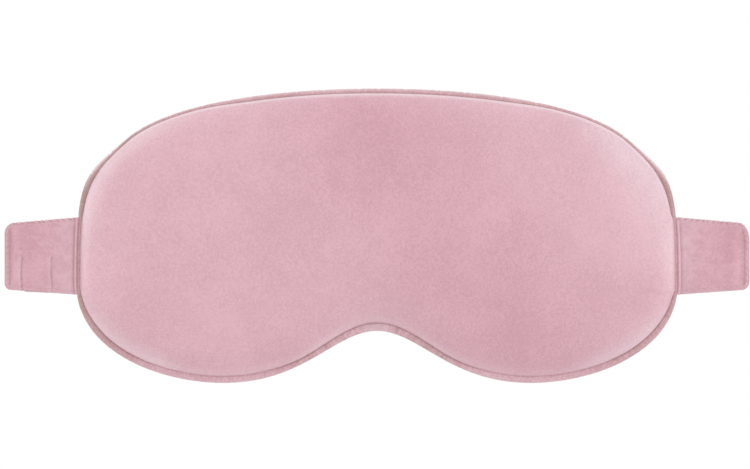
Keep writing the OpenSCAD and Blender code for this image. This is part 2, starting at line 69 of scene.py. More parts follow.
for old in list(bpy.data.objects):
    bpy.data.objects.remove(old)
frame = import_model()
NODES = frame["nodes"]
JOINT_AT = {j["name"]: j["pos_m"] for j in frame["joints"]}
SCENE = bpy.context.scene
SIDES = {"left": -1, "right": 1}

# Places taken from the frame


def box_mm(node):
    """Low and high x of a node, then those of y and z."""
    low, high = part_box(node)
    return [(low[k] / MM, high[k] / MM) for k in range(3)]


(_, SIDE_X), RIM_Y, (LOBE_Z, TOP_Z) = box_mm("edge_binding")
SEAM_Y = np.mean(RIM_Y)
RIM_HALF_T = np.ptp(RIM_Y) / 2
FRONT_H = SEAM_Y - box_mm("front_cover")[1][0]
REAR_H = box_mm("rear_cover")[1][1] - SEAM_Y
CORE_FRONT = SEAM_Y - box_mm("core_foam")[1][0]
CORE_BACK = box_mm("heater_film")[1][1] - SEAM_Y
TAB_X, TAB_Y, _ = box_mm("right_tab")
TAB_HALF_T = np.ptp(TAB_Y) / 2
SOCKET_X, SOCKET_Y, SOCKET_Z = box_mm("socket_shell")
FOLD_X, FOLD_Y, TAB_Z = [value / MM for value in JOINT_AT["right_strap_fold"]]
END_X, END_Y, _ = box_mm("right_strap_end")
BAND_HALF_T = np.ptp(END_Y) / 2
BAND_HALF_W = np.ptp(box_mm("left_strap")[2]) / 2

# Number helpers

WAVES = 9


def smooth(t):
    t = np.clip(t, 0, 1)
    return t * t * (3 - 2 * t)


def ramp(value, start, width):
    """Rises smoothly from 0 to 1 while value goes from start over a width."""
    return smooth((value - start) / width)


def quarter(t):
    """Rises steeply from 0 and levels off at 1, as a quarter of an ellipse does."""
    return np.sqrt(1 - (1 - np.clip(t, 0, 1)) ** 2)


def bump(value, centre, width):
    return np.exp(-(((value - centre) / width) ** 2))


def ripple(length, pitch):
    return np.cos(2 * math.pi * length / pitch)


def wander(length, seed, longest):
    """Uneven wave along a length, about -1 to 1, from sines of seeded phase."""
    rng = np.random.default_rng(seed)
    total = np.zeros_like(length)
    for k in range(WAVES):
        turn = 2 * math.pi * length / longest * (1 + 1.7 * k)
        total += np.sin(turn + rng.uniform(0, 2 * math.pi)) / math.sqrt(1 + k)
    return total / math.sqrt(WAVES)


def spots(*axes):
    """Rows of coordinates, from an array or a number for each axis."""
    return np.stack(np.broadcast_arrays(*axes), axis=-1)


def unit_rows(v):
    return v / np.maximum(np.linalg.norm(v, axis=-1, keepdims=True), 1e-12)


def quarter_turn(v):
    return spots(v[:, 1], -v[:, 0])


def run_length(line):
    """Length along a line of points, from its start to each point."""
    return np.hstack([[0], np.cumsum(np.linalg.norm(np.diff(line, axis=0), axis=1))])


def along_line(at, run, line):
    """Points of a line at given lengths; run is the length at its own points."""
    return np.stack([np.interp(at, run, column) for column in line.T], axis=-1)


def closing_in(start, stop, step, turn, count):
    """Even steps from start to stop that grow finer over the last turn."""
    fine = stop - turn * (1 - np.sin(np.linspace(0, math.pi / 2, count)))
    return np.hstack([np.arange(start, fine[0], step), fine])


def distance_to(points, line):
    """Distance from each point to the nearest point of a line, and its number."""
    gaps = np.linalg.norm(points[:, None] - line, axis=2)
    return gaps.min(axis=1), gaps.argmin(axis=1)


# Mesh helpers


def add_to_scene(name, data):
    made = bpy.data.objects.new(name, data)
    SCENE.collection.objects.link(made)
    return made


def add_object(name, points, faces, material):
    mesh = bpy.data.meshes.new(name)
    mesh.from_pydata((np.asarray(points) * MM).tolist(), [], faces)
    mesh.materials.append(material)
    return add_to_scene(name, mesh)


def close_up(piece, merge=0.002, rounded=True):
    """Joins points that lie together, turns faces outwards and shades them round or flat."""
    work = bmesh.new()
    work.from_mesh(piece.data)
    bmesh.ops.remove_doubles(work, verts=work.verts, dist=merge * MM)
    bmesh.ops.dissolve_degenerate(work, edges=work.edges, dist=merge * MM / 4)
    bmesh.ops.recalc_face_normals(work, faces=work.faces)
    work.to_mesh(piece.data)
    work.free()
    piece.data.polygons.foreach_set("use_smooth", [rounded] * len(piece.data.polygons))
    return piece


def set_values(piece, **layers):
    for name, values in layers.items():
        layer = piece.data.attributes.new(name, "FLOAT", "POINT")
        layer.data.foreach_set("value", np.ravel(values).astype(np.float32))


def grid_faces(rows, columns, first=0, wrap=False, ring=False):
    """Quads of points stored row by row; wrap joins the end columns, ring the end rows."""
    faces = []
    for r in range(rows if ring else rows - 1):
        a = first + r * columns
        b = first + (r + 1) % rows * columns
        for c in range(columns if wrap else columns - 1):
            d = (c + 1) % columns
            faces.append((a + c, a + d, b + d, b + c))
    return faces


def both_sheets(faces, count):
    return faces + [tuple(count + v for v in f[::-1]) for f in faces]


def place(piece, body, slot, *nodes):
    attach(piece, body)
    if nodes:
        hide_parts(*nodes)
    return piece


# Material helpers


def srgb(red, green, blue):
    """Linear colour from the 0 to 255 values of a screen colour."""
    out = []
    for value in (red / 255, green / 255, blue / 255):
        out.append(value / 12.92 if value <= 0.04045 else ((value + 0.055) / 1.055) ** 2.4)
    return (*out, 1.0)


def feed(tree, socket, value):
    """Links a node's output to a socket, or sets the socket to a plain value."""
    if isinstance(value, bpy.types.NodeSocket):
        tree.links.new(value, socket)
    else:
        socket.default_value = value


def add_node(tree, kind, inputs, output=0, **settings):
    made = tree.nodes.new("ShaderNode" + kind)
    for key, value in settings.items():
        setattr(made, key, value)
    for key, value in inputs.items():
        feed(tree, made.inputs[key], value)
    return made.outputs[output]


class Look:
    """A node material, with short calls for the nodes it needs."""

    def __init__(self, name, **sockets):
        self.material = bpy.data.materials.new(name)
        self.material.use_nodes = True
        self.tree = self.material.node_tree
        self.shader = self.tree.nodes["Principled BSDF"]
        for key, value in sockets.items():
            self.shader.inputs[key.replace("_", " ")].default_value = value
        self.place = self.add("TexCoord", {}, "Object")

    def add(self, kind, inputs, output=0, **settings):
        return add_node(self.tree, kind, inputs, output, **settings)

    def noise(self, size, detail=2.0, scale=None):
        """Soft noise whose spots are about size across."""
        place = self.add("Mapping", {"Vector": self.place, "Scale": scale}) if scale else self.place
        return self.add("TexNoise", {"Vector": place, "Scale": 1 / (size * MM), "Detail": detail})

    def wave(self, pitch, direction, distortion=0.0):
        inputs = {"Vector": self.place, "Scale": math.pi / (10 * pitch * MM), "Distortion": distortion}
        return self.add("TexWave", inputs, "Fac", bands_direction=direction)

    def attribute(self, name):
        return self.add("Attribute", {}, "Fac", attribute_name=name)

    def span(self, source, low, high, to_low=0.0, to_high=1.0):
        inputs = {"Value": source, "From Min": low, "From Max": high, "To Min": to_low, "To Max": to_high}
        return self.add("MapRange", inputs, interpolation_type="SMOOTHSTEP")

    def total(self, *layers):
        result = 0.0
        for source, share in layers:
            result = self.add("Math", {0: source, 1: share, 2: result}, operation="MULTIPLY_ADD")
        return result

    def mix(self, factor, *ends):
        """Mixes two ends, each a node's output or a screen colour."""
        first, second = [srgb(*end) if isinstance(end, tuple) else end for end in ends]
        return self.add("Mix", {0: factor, 6: first, 7: second}, 2, data_type="RGBA")

    def finish(self, colour, rough, *layers):
        """Feeds the shader; rough is (source, low, high), layers are bumps (height, depth)."""
        source, low, high = rough
        fed = {"Base Color": colour, "Roughness": self.span(source, 0.25, 0.75, low, high)}
        normal = {}
        for height, depth in layers:
            inputs = {"Strength": 1.0, "Distance": depth * MM, "Height": height, **normal}
            normal = {"Normal": self.add("Bump", inputs)}
        for key, value in {**fed, **normal}.items():
            feed(self.tree, self.shader.inputs[key], value)
        return self.material


# Materials

FINE_SHARE = 0.8
CLOUD_SHARE = 0.45
FOAM_CELL = 0.7
TONE_HALF = 0.2
SEAM_SPAN = 0.75
SHEEN_TINT = (255, 244, 246)
# Colours of the painted highlight on satin
HIGHLIGHT_TINTS = ((230, 206, 214), (241, 221, 228))
# Colours of the painted shade in the valleys between the elastic's ribs
RIB_SHADE = ((150, 108, 118), (166, 122, 132))


def satin(name, dark, light, seam_shade_colour, gloss=1.0, shade_colours=None, crush_depth=0.3, blotchy=0.15):
    """Fine satin with threads, slubs and a cloudy tone.

    Painted seam shade darkens it where its edge value nears 0, and a painted highlight whitens it and
    painted shade deepens it, each by its own point value.
    """
    look = Look(name, Sheen_Weight=0.6 * gloss, Sheen_Roughness=0.4, Sheen_Tint=srgb(*SHEEN_TINT),
                Specular_IOR_Level=gloss, Coat_Weight=gloss, Coat_Roughness=0.45)
    fine = look.noise(0.7, detail=4.0)
    slub = look.noise(1.1, scale=(0.25, 1.0, 1.0))
    tone = look.total((fine, FINE_SHARE), (look.noise(4), blotchy), (look.noise(26), CLOUD_SHARE))
    middle = (FINE_SHARE + blotchy + CLOUD_SHARE) / 2
    tone = look.span(tone, middle - TONE_HALF, middle + TONE_HALF)
    cloth = look.mix(tone, dark, light)
    # Painted shade and painted highlight, mixed in by point values
    if shade_colours:
        cloth = look.mix(look.attribute("shade"), cloth, look.mix(tone, *shade_colours))
    cloth = look.mix(look.attribute("pale"), cloth, look.mix(tone, *HIGHLIGHT_TINTS))
    # Painted seam shade where the edge value nears 0
    seam = look.span(look.attribute("edge"), 0.0, SEAM_SPAN)
    threads = look.wave(0.3, "Z", distortion=1.5)
    crush = look.noise(9, detail=3.0)
    layers = ((crush, crush_depth), (threads, 0.006), (slub, 0.02), (fine, 0.02))
    return look.finish(look.mix(seam, seam_shade_colour, cloth), (slub, 0.39, 0.49), *layers)


def elastic(name, dark, light):
    look = Look(name, Sheen_Weight=0.2, Sheen_Roughness=0.5)
    fine = look.noise(0.5, detail=3.0)
    knit = look.wave(0.8, "X", distortion=1.0)
    yarn = look.mix(look.span(look.total((fine, 1.0), (knit, 0.4)), 0.4, 1.0), dark, light)
    # Painted shade in the valleys between the ribs
    shade = look.mix(look.span(fine, 0.3, 0.7), *RIB_SHADE)
    colour = look.mix(look.span(look.attribute("rib"), 0.1, 0.8), shade, yarn)
    return look.finish(colour, (fine, 0.62, 0.78), (knit, 0.03), (fine, 0.04))


def plain(name, dark, light, size, roughness, depth, metallic=0.0):
    look = Look(name, Metallic=metallic)
    grain = look.noise(size, detail=4.0)
    tone = look.span(look.total((grain, 0.6), (look.noise(size * 9), 0.4)), 0.32, 0.68)
    rough = (grain, roughness - 0.07, roughness + 0.07)
    return look.finish(look.mix(tone, dark, light), rough, (grain, depth))


def foam(name, dark, light):
    look = Look(name)
    cell = look.add("TexVoronoi", {"Vector": look.place, "Scale": 1 / (FOAM_CELL * MM)})
    tone = look.span(look.total((cell, 1.0), (look.noise(8), 1.0)), 0.5, 1.2)
    return look.finish(look.mix(tone, dark, light), (cell, 0.85, 0.95), (cell, 0.2))


def ruled(name, dark, light, pitch, direction, roughness, depth, metallic=0.0):
    look = Look(name, Metallic=metallic)
    line = look.wave(pitch, direction)
    grain = look.noise(pitch * 2, detail=3.0)
    tone = look.span(look.total((line, 1.0), (grain, 1.0)), 0.5, 1.3)
    rough = (grain, roughness - 0.06, roughness + 0.06)
    return look.finish(look.mix(tone, dark, light), rough, (line, depth), (grain, depth / 2))


# Painted shade colours: the front's shade band, the rim's shade and mottle, and the tabs' outer ends. The
# third colour given to each satin is its painted seam shade.
FRONT_SHADE = ((196, 139, 155), (212, 158, 173))
RIM_SHADE_AND_MOTTLE = ((166, 133, 129), (184, 150, 145))
TAB_SHADE = ((191, 132, 148), (205, 150, 165))
FRONT_SATIN = satin("front_satin", (207, 154, 168), (223, 173, 186), (172, 130, 132), shade_colours=FRONT_SHADE)
REAR_SATIN = satin("rear_satin", (203, 153, 166), (218, 171, 183), (168, 124, 127))
RIM_SATIN = satin("rim_satin", (204, 156, 167), (228, 187, 196), (170, 134, 134), 0.35, RIM_SHADE_AND_MOTTLE)
TAB_SATIN = satin("tab_satin", (202, 147, 161), (216, 165, 178), (152, 97, 99), shade_colours=TAB_SHADE,
                  crush_depth=0.7, blotchy=0.5)
THREAD = ruled("pink_thread", (220, 180, 190), (238, 208, 216), 0.16, "DIAGONAL", 0.6, 0.02)
ELASTIC = elastic("elastic_knit", (196, 150, 161), (216, 172, 182))
LOOP_PILE = plain("loop_pile", (201, 158, 168), (221, 182, 190), 0.4, 0.85, 0.08)
HOOK_PILE = plain("hook_pile", (190, 138, 150), (210, 160, 171), 0.5, 0.45, 0.03)
CORE_FOAM = foam("core_foam_cells", (222, 213, 176), (240, 233, 205))

NODE_LOOKS = {
    "heater_film": ruled("carbon_film", (46, 44, 47), (74, 71, 74), 1.6, "DIAGONAL", 0.45, 0.02),
    "heater_bars": plain("copper_strip", (170, 112, 66), (206, 148, 98), 0.6, 0.32, 0.01, 1.0),
    "temperature_bead": plain("bead_resin", (34, 30, 28), (58, 52, 48), 0.5, 0.3, 0.02),
    "bead_leads": plain("grey_wire", (96, 93, 89), (122, 119, 114), 0.7, 0.4, 0.01),
    "control_board": ruled("board_green", (36, 78, 50), (58, 108, 72), 1.1, "X", 0.35, 0.02),
    "control_chip": plain("chip_resin", (30, 30, 32), (48, 48, 51), 0.3, 0.5, 0.02),
    "thermal_cutoff": plain("cutoff_ceramic", (190, 184, 168), (212, 207, 193), 0.4, 0.55, 0.02),
    "lead_connectors": plain("connector_nylon", (222, 217, 206), (240, 236, 227), 0.6, 0.5, 0.02),
    "supply_leads": plain("red_wire", (126, 36, 36), (156, 54, 52), 0.7, 0.4, 0.01),
    "heater_leads": plain("brown_wire", (112, 80, 40), (138, 104, 60), 0.7, 0.4, 0.01),
    "socket_shell": ruled("socket_steel", (176, 179, 183), (208, 211, 214), 0.4, "Z", 0.28, 0.004, 1.0),
    "socket_insert": plain("socket_resin", (30, 30, 34), (50, 50, 55), 0.3, 0.45, 0.01),
}
MOTOR_STEEL = ruled("motor_steel", (168, 171, 175), (200, 203, 206), 0.25, "X", 0.3, 0.004, 1.0)
MOTOR_LOOKS = {
    "leads": plain("blue_wire", (48, 68, 124), (70, 92, 152), 0.7, 0.4, 0.01),
    "case": MOTOR_STEEL,
    "base": MOTOR_STEEL,
    "shaft": plain("shaft_steel", (196, 198, 202), (224, 226, 229), 0.2, 0.22, 0.002, 1.0),
    "magnet": plain("magnet_grey", (70, 71, 75), (98, 99, 103), 0.3, 0.5, 0.02, 0.6),
    "rotor": plain("rotor_resin", (46, 92, 60), (70, 122, 84), 0.5, 0.45, 0.01),
    "coils": ruled("coil_copper", (160, 92, 48), (204, 132, 78), 0.12, "Z", 0.35, 0.02, 0.8),
    "weight": plain("weight_metal", (104, 105, 110), (138, 139, 144), 0.2, 0.4, 0.01, 1.0),
}
for hand in SIDES:
    for part_name, motor_look in MOTOR_LOOKS.items():
        NODE_LOOKS[f"{hand}_motor_{part_name}"] = motor_look
for node_name, node_look in NODE_LOOKS.items():
    NODES[node_name].data.materials.clear()
    NODES[node_name].data.materials.append(node_look)

# Camera, floor, world and lamps

IMAGE_W = 750
PIXEL = 0.3405
LENS = 100.0
SENSOR = 36.0
CAMERA_X = -0.68
CAMERA_Z = 0.37
FLOOR_Z = -160
FLOOR_HALF = 500
FLOOR_GLOW = 0.6
FLOOR_DARK = (0.86, 0.86, 0.86, 1.0)
FLOOR_LIGHT = (0.9, 0.9, 0.9, 1.0)
AMBIENT = 0.86
AMBIENT_TINT = (1.0, 0.99, 0.98, 1.0)
WHITE = (1.0, 1.0, 1.0, 1.0)
# Place and size of each lamp in metres, and its power
LAMPS = {
    "right_low": ((0.85, -0.45, -0.25), 0.6, 1.6),
    "right_side": ((0.95, -0.20, 0.20), 0.5, 0.6),
    "right_high": ((0.60, -0.30, 0.70), 0.5, 0.65),
    "left_front": ((-0.50, -0.87, 0.20), 0.5, 0.3),
    "left_side": ((-0.90, -0.16, 0.12), 0.5, 0.7),
    "left_high": ((-0.65, -0.25, 0.65), 0.5, 0.6),
    "top": ((0.0, -0.20, 0.95), 0.6, 0.2),
}


def add_camera():
    data = bpy.data.cameras.new("camera")
    data.lens = LENS
    data.sensor_width = SENSOR
    camera = add_to_scene("camera", data)
    away = IMAGE_W * PIXEL * LENS / SENSOR
    camera.location = Vector((CAMERA_X, SEAM_Y - away, CAMERA_Z)) * MM
    camera.rotation_euler = (math.pi / 2, 0, 0)
    SCENE.camera = camera


def add_lamps():
    target = Vector((0, SEAM_Y * MM, 0))
    for name, (spot, size, power) in LAMPS.items():
        data = bpy.data.lights.new(name, "AREA")
        data.shape = "DISK"
        data.size = size
        data.energy = power
        lamp = add_to_scene(name, data)
        lamp.location = spot
        lamp.rotation_euler = (target - Vector(spot)).to_track_quat("-Z", "Y").to_euler()


def seen_directly(tree):
    """1 for rays from the camera, gloss and glass, and 0 for light that falls on things."""
    rays = tree.nodes.new("ShaderNodeLightPath").outputs
    total = rays["Is Camera Ray"]
    for name in ("Is Glossy Ray", "Is Transmission Ray"):
        total = add_node(tree, "Math", {0: total, 1: rays[name]}, operation="MAXIMUM")
    return total


def add_world():
    world = bpy.data.worlds.new("studio")
    world.use_nodes = True
    tree = world.node_tree
    light = add_node(tree, "Background", {"Color": AMBIENT_TINT, "Strength": AMBIENT})
    white = add_node(tree, "Background", {"Color": WHITE})
    shown = add_node(tree, "MixShader", {0: seen_directly(tree), 1: light, 2: white})
    feed(tree, tree.nodes["World Output"].inputs["Surface"], shown)
    SCENE.world = world


def add_floor():
    look = Look("pale_floor", Roughness=0.9)
    speck = look.span(look.noise(4), 0.3, 0.7)
    colour = look.add("Mix", {0: speck, 6: FLOOR_DARK, 7: FLOOR_LIGHT}, 2, data_type="RGBA")
    feed(look.tree, look.shader.inputs["Base Color"], colour)
    glow = look.add("Emission", {"Color": WHITE})
    share = look.total((seen_directly(look.tree), FLOOR_GLOW))
    shown = look.add("MixShader", {0: share, 1: look.shader.outputs["BSDF"], 2: glow})
    feed(look.tree, look.tree.nodes["Material Output"].inputs["Surface"], shown)
    corners = [(x * FLOOR_HALF, y * FLOOR_HALF, FLOOR_Z) for x, y in ((-1, -1), (1, -1), (1, 1), (-1, 1))]
    add_object("floor", corners, [(0, 1, 2, 3)], look.material)


SCENE.view_settings.view_transform = "Standard"
add_camera()
add_lamps()
add_world()
add_floor()

# Mask outline

# Right half of the edge, from the top to the nose notch: place, heading in degrees, pull before and after
EDGE_KNOTS = (
    ((0, TOP_Z), 0, 0, 34.3),
    ((85.75, 32.6), -41.3, 19.5, 18.6),
    ((SIDE_X, -16), -90, 37.4, 23.8),
    ((52.25, LOBE_Z), 180, 21.4, 27.8),
    ((0, -32.5), 180, 14.2, 0),
)
CURVE_STEPS = 400


def half_edge():
    """Points down the right half of the edge, on a curve from each knot to the next."""
    handles = []
    for spot, heading, before, after in EDGE_KNOTS:
        way = np.array((math.cos(math.radians(heading)), math.sin(math.radians(heading))))
        handles += [spot - before * way, np.array(spot), spot + after * way]
    t = np.linspace(0, 1, CURVE_STEPS)[:-1, None]
    curves = []
    for k in range(1, len(handles) - 2, 3):
        a, b, c, d = handles[k:k + 4]
        curves.append((1 - t) ** 3 * a + 3 * t * (1 - t) ** 2 * b + 3 * t * t * (1 - t) * c + t**3 * d)
    return np.vstack(curves + [handles[-2]])


def mask_edge(count):
    """Even points round the edge, clockwise from the top, inward directions and step length."""
    half = half_edge()
    ring = np.vstack([half, half[-2::-1] * (-1, 1)])
    run = run_length(ring)
    points = along_line(np.linspace(0, run[-1], count, endpoint=False), run, ring)
    along = unit_rows(np.roll(points, -1, axis=0) - np.roll(points, 1, axis=0))
    return points, quarter_turn(along), run[-1] / count


class Places:
    """Places on the mask, with shares that say which part of the edge each lies at.

    lean is the rise of the inward direction there: 1 where the edge faces down and -1 where it faces up.
    """

    def __init__(self, points, lean):
        self.x, self.z = points.T
        self.wide = np.abs(self.x)
        self.lean = lean
        self.below = ramp(lean, 0.1, 0.6)
        self.above = ramp(-lean, 0.45, 0.3)
        self.under_lobe = ramp(lean, 0.9, 0.08) * ramp(self.wide, 28, 10)
        self.at_notch = self.below * bump(self.x, 0, 32)
        self.by_tab = ramp(self.wide, 0.9 * SIDE_X, 5) * (1 - ramp(np.abs(self.z - TAB_Z), 11, 4))


def rim_width(at):
    """How much of the rim shows: wide below, narrow at the upper corners and the tabs."""
    corner = ramp(at.wide, 42, 20) * ramp(at.z, 20, 12)
    elbow = bump(at.z, 19, 8) * ramp(at.wide, 75, 15)
    width = 1.6 + 0.7 * at.below - 0.62 * corner + 0.5 * elbow
    width -= at.by_tab * np.where(at.x < 0, 0.2, 0.75)
    return width + 0.5 * at.below * (bump(at.x, 0, 9) - bump(at.wide, 25, 9))


# Padded panels

RINGS = np.array((0, 0.2, 0.5, 0.9, 1.4, 2.1, 3.0, 4.1, 5.4, 6.9, 8.6, 10.5, 12.5))
RING_COUNT = 560
GRID_STEP = 2.2
COVER_T = 0.5
SEAM_LIFT = 0.2
LIP_H = 1.9
LIP_W = 0.9
CROWN_W = 10.5
REAR_EASY_H = 1.4
PUCKER = 0.05
CORE_PRESS = 0.05
SETTLE_ROUNDS = 40
# Place, width, tilt and strength of the painted shade band on the front
BAND_X = -8
BAND_W = 25
BAND_TILT = math.radians(32)
BAND_SHARE = 0.72
CLOTH_FRAMES = 16
CLOTH_CAP = 0.8
CLOTH = {"quality": 6, "mass": 0.12, "tension_stiffness": 12, "compression_stiffness": 12,
         "shear_stiffness": 6, "bending_stiffness": 0.4, "vertex_group_mass": "seam",
         "use_pressure": True, "uniform_pressure_force": 1.0}


def flat_panel():
    """Flat panel: points, distance in from the seam, length along it, lean there, faces."""
    edge, inward, step = mask_edge(RING_COUNT)
    seam = edge + rim_width(Places(edge, inward[:, 1]))[:, None] * inward
    rings = np.vstack([seam + d * inward for d in RINGS])
    columns = np.arange(-SIDE_X, SIDE_X, GRID_STEP)
    grid = []
    for row, z in enumerate(np.arange(LOBE_Z, TOP_Z, GRID_STEP * math.sqrt(3) / 2)):
        grid += [(x + (row % 2) * GRID_STEP / 2, z) for x in columns]
    grid = np.array(grid)
    away, nearest = distance_to(grid, seam)
    inside = ((grid - seam[nearest]) * inward[nearest]).sum(axis=1) > 0
    keep = inside & (away > RINGS[-1] + 0.7 * GRID_STEP)
    inner = np.vstack([rings[-RING_COUNT:], grid[keep]])
    loop = [list(range(RING_COUNT))]
    found = delaunay_2d_cdt([Vector(p) for p in inner], [], loop, 1, 1e-4)
    origin = [names[0] for names in found[3]]
    base = len(rings) - RING_COUNT
    faces = grid_faces(len(RINGS), RING_COUNT, wrap=True)
    faces += [tuple(base + origin[v] for v in f) for f in found[2]]
    points = np.vstack([rings, grid[keep]])
    depth = np.hstack([np.repeat(RINGS, RING_COUNT), away[keep]])
    nearest = np.hstack([np.tile(np.arange(RING_COUNT), len(RINGS)), nearest[keep]])
    return points, depth, nearest * step, inward[nearest, 1], faces


def painted_edge_highlight(at, depth):
    """Painted highlight near the seam, most at the sides and upper corners, with thin painted highlight
    lines by the seam at the top and below.
    """
    side = ramp(at.wide, 50, 40)
    upper = ramp(at.z, -28, 34)
    right = ramp(at.x, 0, 60)
    amount = 0.5 * side * (0.2 + 0.8 * upper) + 0.14 * ramp(at.wide, 12, 25) * (1 - side) * upper
    amount *= 1 - right * (0.08 + 0.2 * bump(depth, 0, 2) + 0.12 * at.by_tab)
    amount += 0.2 * ramp(at.x, 60, 25) * ramp(at.z, 6, 12)
    reach = 4.5 + 6.5 * upper * right
    # Thin painted highlight lines along the seam: at the low corners, by the notch and along the top
    low_line = 0.14 * bump(depth, 1, 1.6) + 0.3 * ramp(at.wide, 62, 15) * bump(depth, 1.5, 4)
    low_line += 0.13 * bump(at.x, 0, 15) * bump(depth, 5, 4)
    low_line += 0.14 * bump(at.wide, 20, 12) * bump(depth, 0.7, 0.7)
    lines = at.above * bump(depth, 0.1, 0.9) + at.below * low_line
    return np.maximum(amount * np.exp(-((depth / reach) ** 1.3)), lines)


def seam_shadow(at, depth):
    """Painted seam shade, as a distance from the seam: soft at the sides, faint under the lobes."""
    upright = (1 - at.below) * (1 - at.above)
    start = (0.6 - 0.15 * upright - 0.15 * at.by_tab) * (1 - at.below)
    start += 0.45 * at.under_lobe + 0.15 * at.at_notch
    return start + (2.2 - upright - 0.95 * at.by_tab) * depth


def painted_shade_band(at):
    """Broad band of painted shade in a deeper pink, from the top middle down to the lower right."""
    across = (at.x - BAND_X) * math.cos(BAND_TILT) + (at.z - TOP_Z) * math.sin(BAND_TILT)
    return BAND_SHARE * bump(across, 0, BAND_W)


def front_rise(at, depth):
    """Crown of the front: a lip, a round, then a slope that is longest at the upper right."""
    right = ramp(at.x, 10, 70) * (0.55 + 0.45 * ramp(at.z, -24, 40))
    easy = 2.0 + 2.4 * right
    slope = 1 - np.exp(-depth / (8 + 9 * right))
    steep = FRONT_H - SEAM_LIFT - COVER_T / 2 - LIP_H - easy
    crown = 1 - (1 - np.clip(depth / CROWN_W, 0, 1)) ** 2.2
    return SEAM_LIFT + LIP_H * quarter(depth / LIP_W) + steep * crown + easy * slope


def rear_rise(at, depth):
    steep = REAR_H - SEAM_LIFT - COVER_T / 2 - REAR_EASY_H
    return SEAM_LIFT + steep * quarter(depth / 8) + REAR_EASY_H * smooth(depth / 26)


def settle(height, faces, fixed):
    """Moves each height past the first fixed ones to the mean of its neighbours."""
    ends = np.array([(f[k - 1], f[k]) for f in faces for k in range(len(f))])
    ends = ends[(ends >= fixed).any(axis=1)]
    start, stop = np.vstack([ends, ends[:, ::-1]]).T
    count = np.maximum(np.bincount(start, minlength=len(height)), 1)
    for _ in range(SETTLE_ROUNDS):
        mean = np.bincount(start, weights=height[stop], minlength=len(height)) / count
        height = np.hstack([height[:fixed], mean[fixed:]])
    return height


def fill_out(points, faces):
    """Short cloth run with the seam held, in which the satin draws tight over its filling."""
    sheet = add_object("cloth_run", points, faces, FRONT_SATIN)
    sheet.vertex_groups.new(name="seam").add(list(range(RING_COUNT)), 1.0, "REPLACE")
    cloth = sheet.modifiers.new("cloth", "CLOTH")
    for key, value in CLOTH.items():
        setattr(cloth.settings, key, value)
    cloth.settings.effector_weights.gravity = 0
    cloth.collision_settings.use_collision = False
    cloth.point_cache.frame_end = CLOTH_FRAMES
    for number in range(1, CLOTH_FRAMES + 1):
        SCENE.frame_set(number)
    shape = sheet.evaluated_get(bpy.context.evaluated_depsgraph_get()).to_mesh()
    moved = np.array([v.co for v in shape.vertices]) / MM - points
    reach = np.linalg.norm(moved, axis=1, keepdims=True)
    SCENE.frame_set(1)
    bpy.data.objects.remove(sheet)
    return points + moved * np.minimum(1, CLOTH_CAP / np.maximum(reach, 1e-6))


def make_panel(name, way, rise, core, material):
    """Closed pad: a crowned satin face, and the flat where it lies on the core."""
    points, depth, along, lean, faces = FLAT_PANEL
    at = Places(points, lean)
    height = settle(rise(at, depth), faces, len(RINGS) * RING_COUNT)
    face = spots(at.x, SEAM_Y + way * height, at.z)
    face = fill_out(face, faces if way < 0 else [f[::-1] for f in faces])
    ridges = wander(along, 11, 3.4) * bump(depth, 1.6, 1.8)
    face[:, 1] += way * PUCKER * ridges * (depth > 0)
    back_height = np.minimum(np.maximum(height - COVER_T, SEAM_LIFT), core + CORE_PRESS)
    back = spots(at.x, SEAM_Y + way * back_height, at.z)
    back[:RING_COUNT] = face[:RING_COUNT]
    panel = add_object(name, np.vstack([face, back]), both_sheets(faces, len(points)), material)
    # Point values for painted seam shade, painted highlight and the painted shade band
    tones = {"edge": seam_shadow(at, depth), "pale": painted_edge_highlight(at, depth), "shade": painted_shade_band(at)}
    set_values(panel, **{tone: np.tile(values, 2) for tone, values in tones.items()})
    return close_up(panel)


FLAT_PANEL = flat_panel()
front_panel = make_panel("front_panel", -1, front_rise, CORE_FRONT, FRONT_SATIN)
place(front_panel, "mask", "front_satin", "front_cover", "front_wadding")
rear_panel = make_panel("rear_panel", 1, rear_rise, CORE_BACK, REAR_SATIN)
place(rear_panel, "mask", "rear_satin", "rear_cover", "face_foam")

# Foam core


def make_core():
    mesh = NODES["core_foam"].data.copy()
    mesh.materials.clear()
    mesh.materials.append(CORE_FOAM)
    core = close_up(add_to_scene("foam_core", mesh), rounded=False)
    return core


place(make_core(), "mask", "foam", "core_foam")

# Rolled rim

RIM_COUNT = 1680
RIM_SIDES = 14
RIM_TUCK = 0.9
RIM_FILL = 0.94
# How far each side tab (1 right, -1 left) reaches in over the rim
ROOT_IN = {1: 0.0, -1: 0.3}
STITCH_PITCH = 2.3


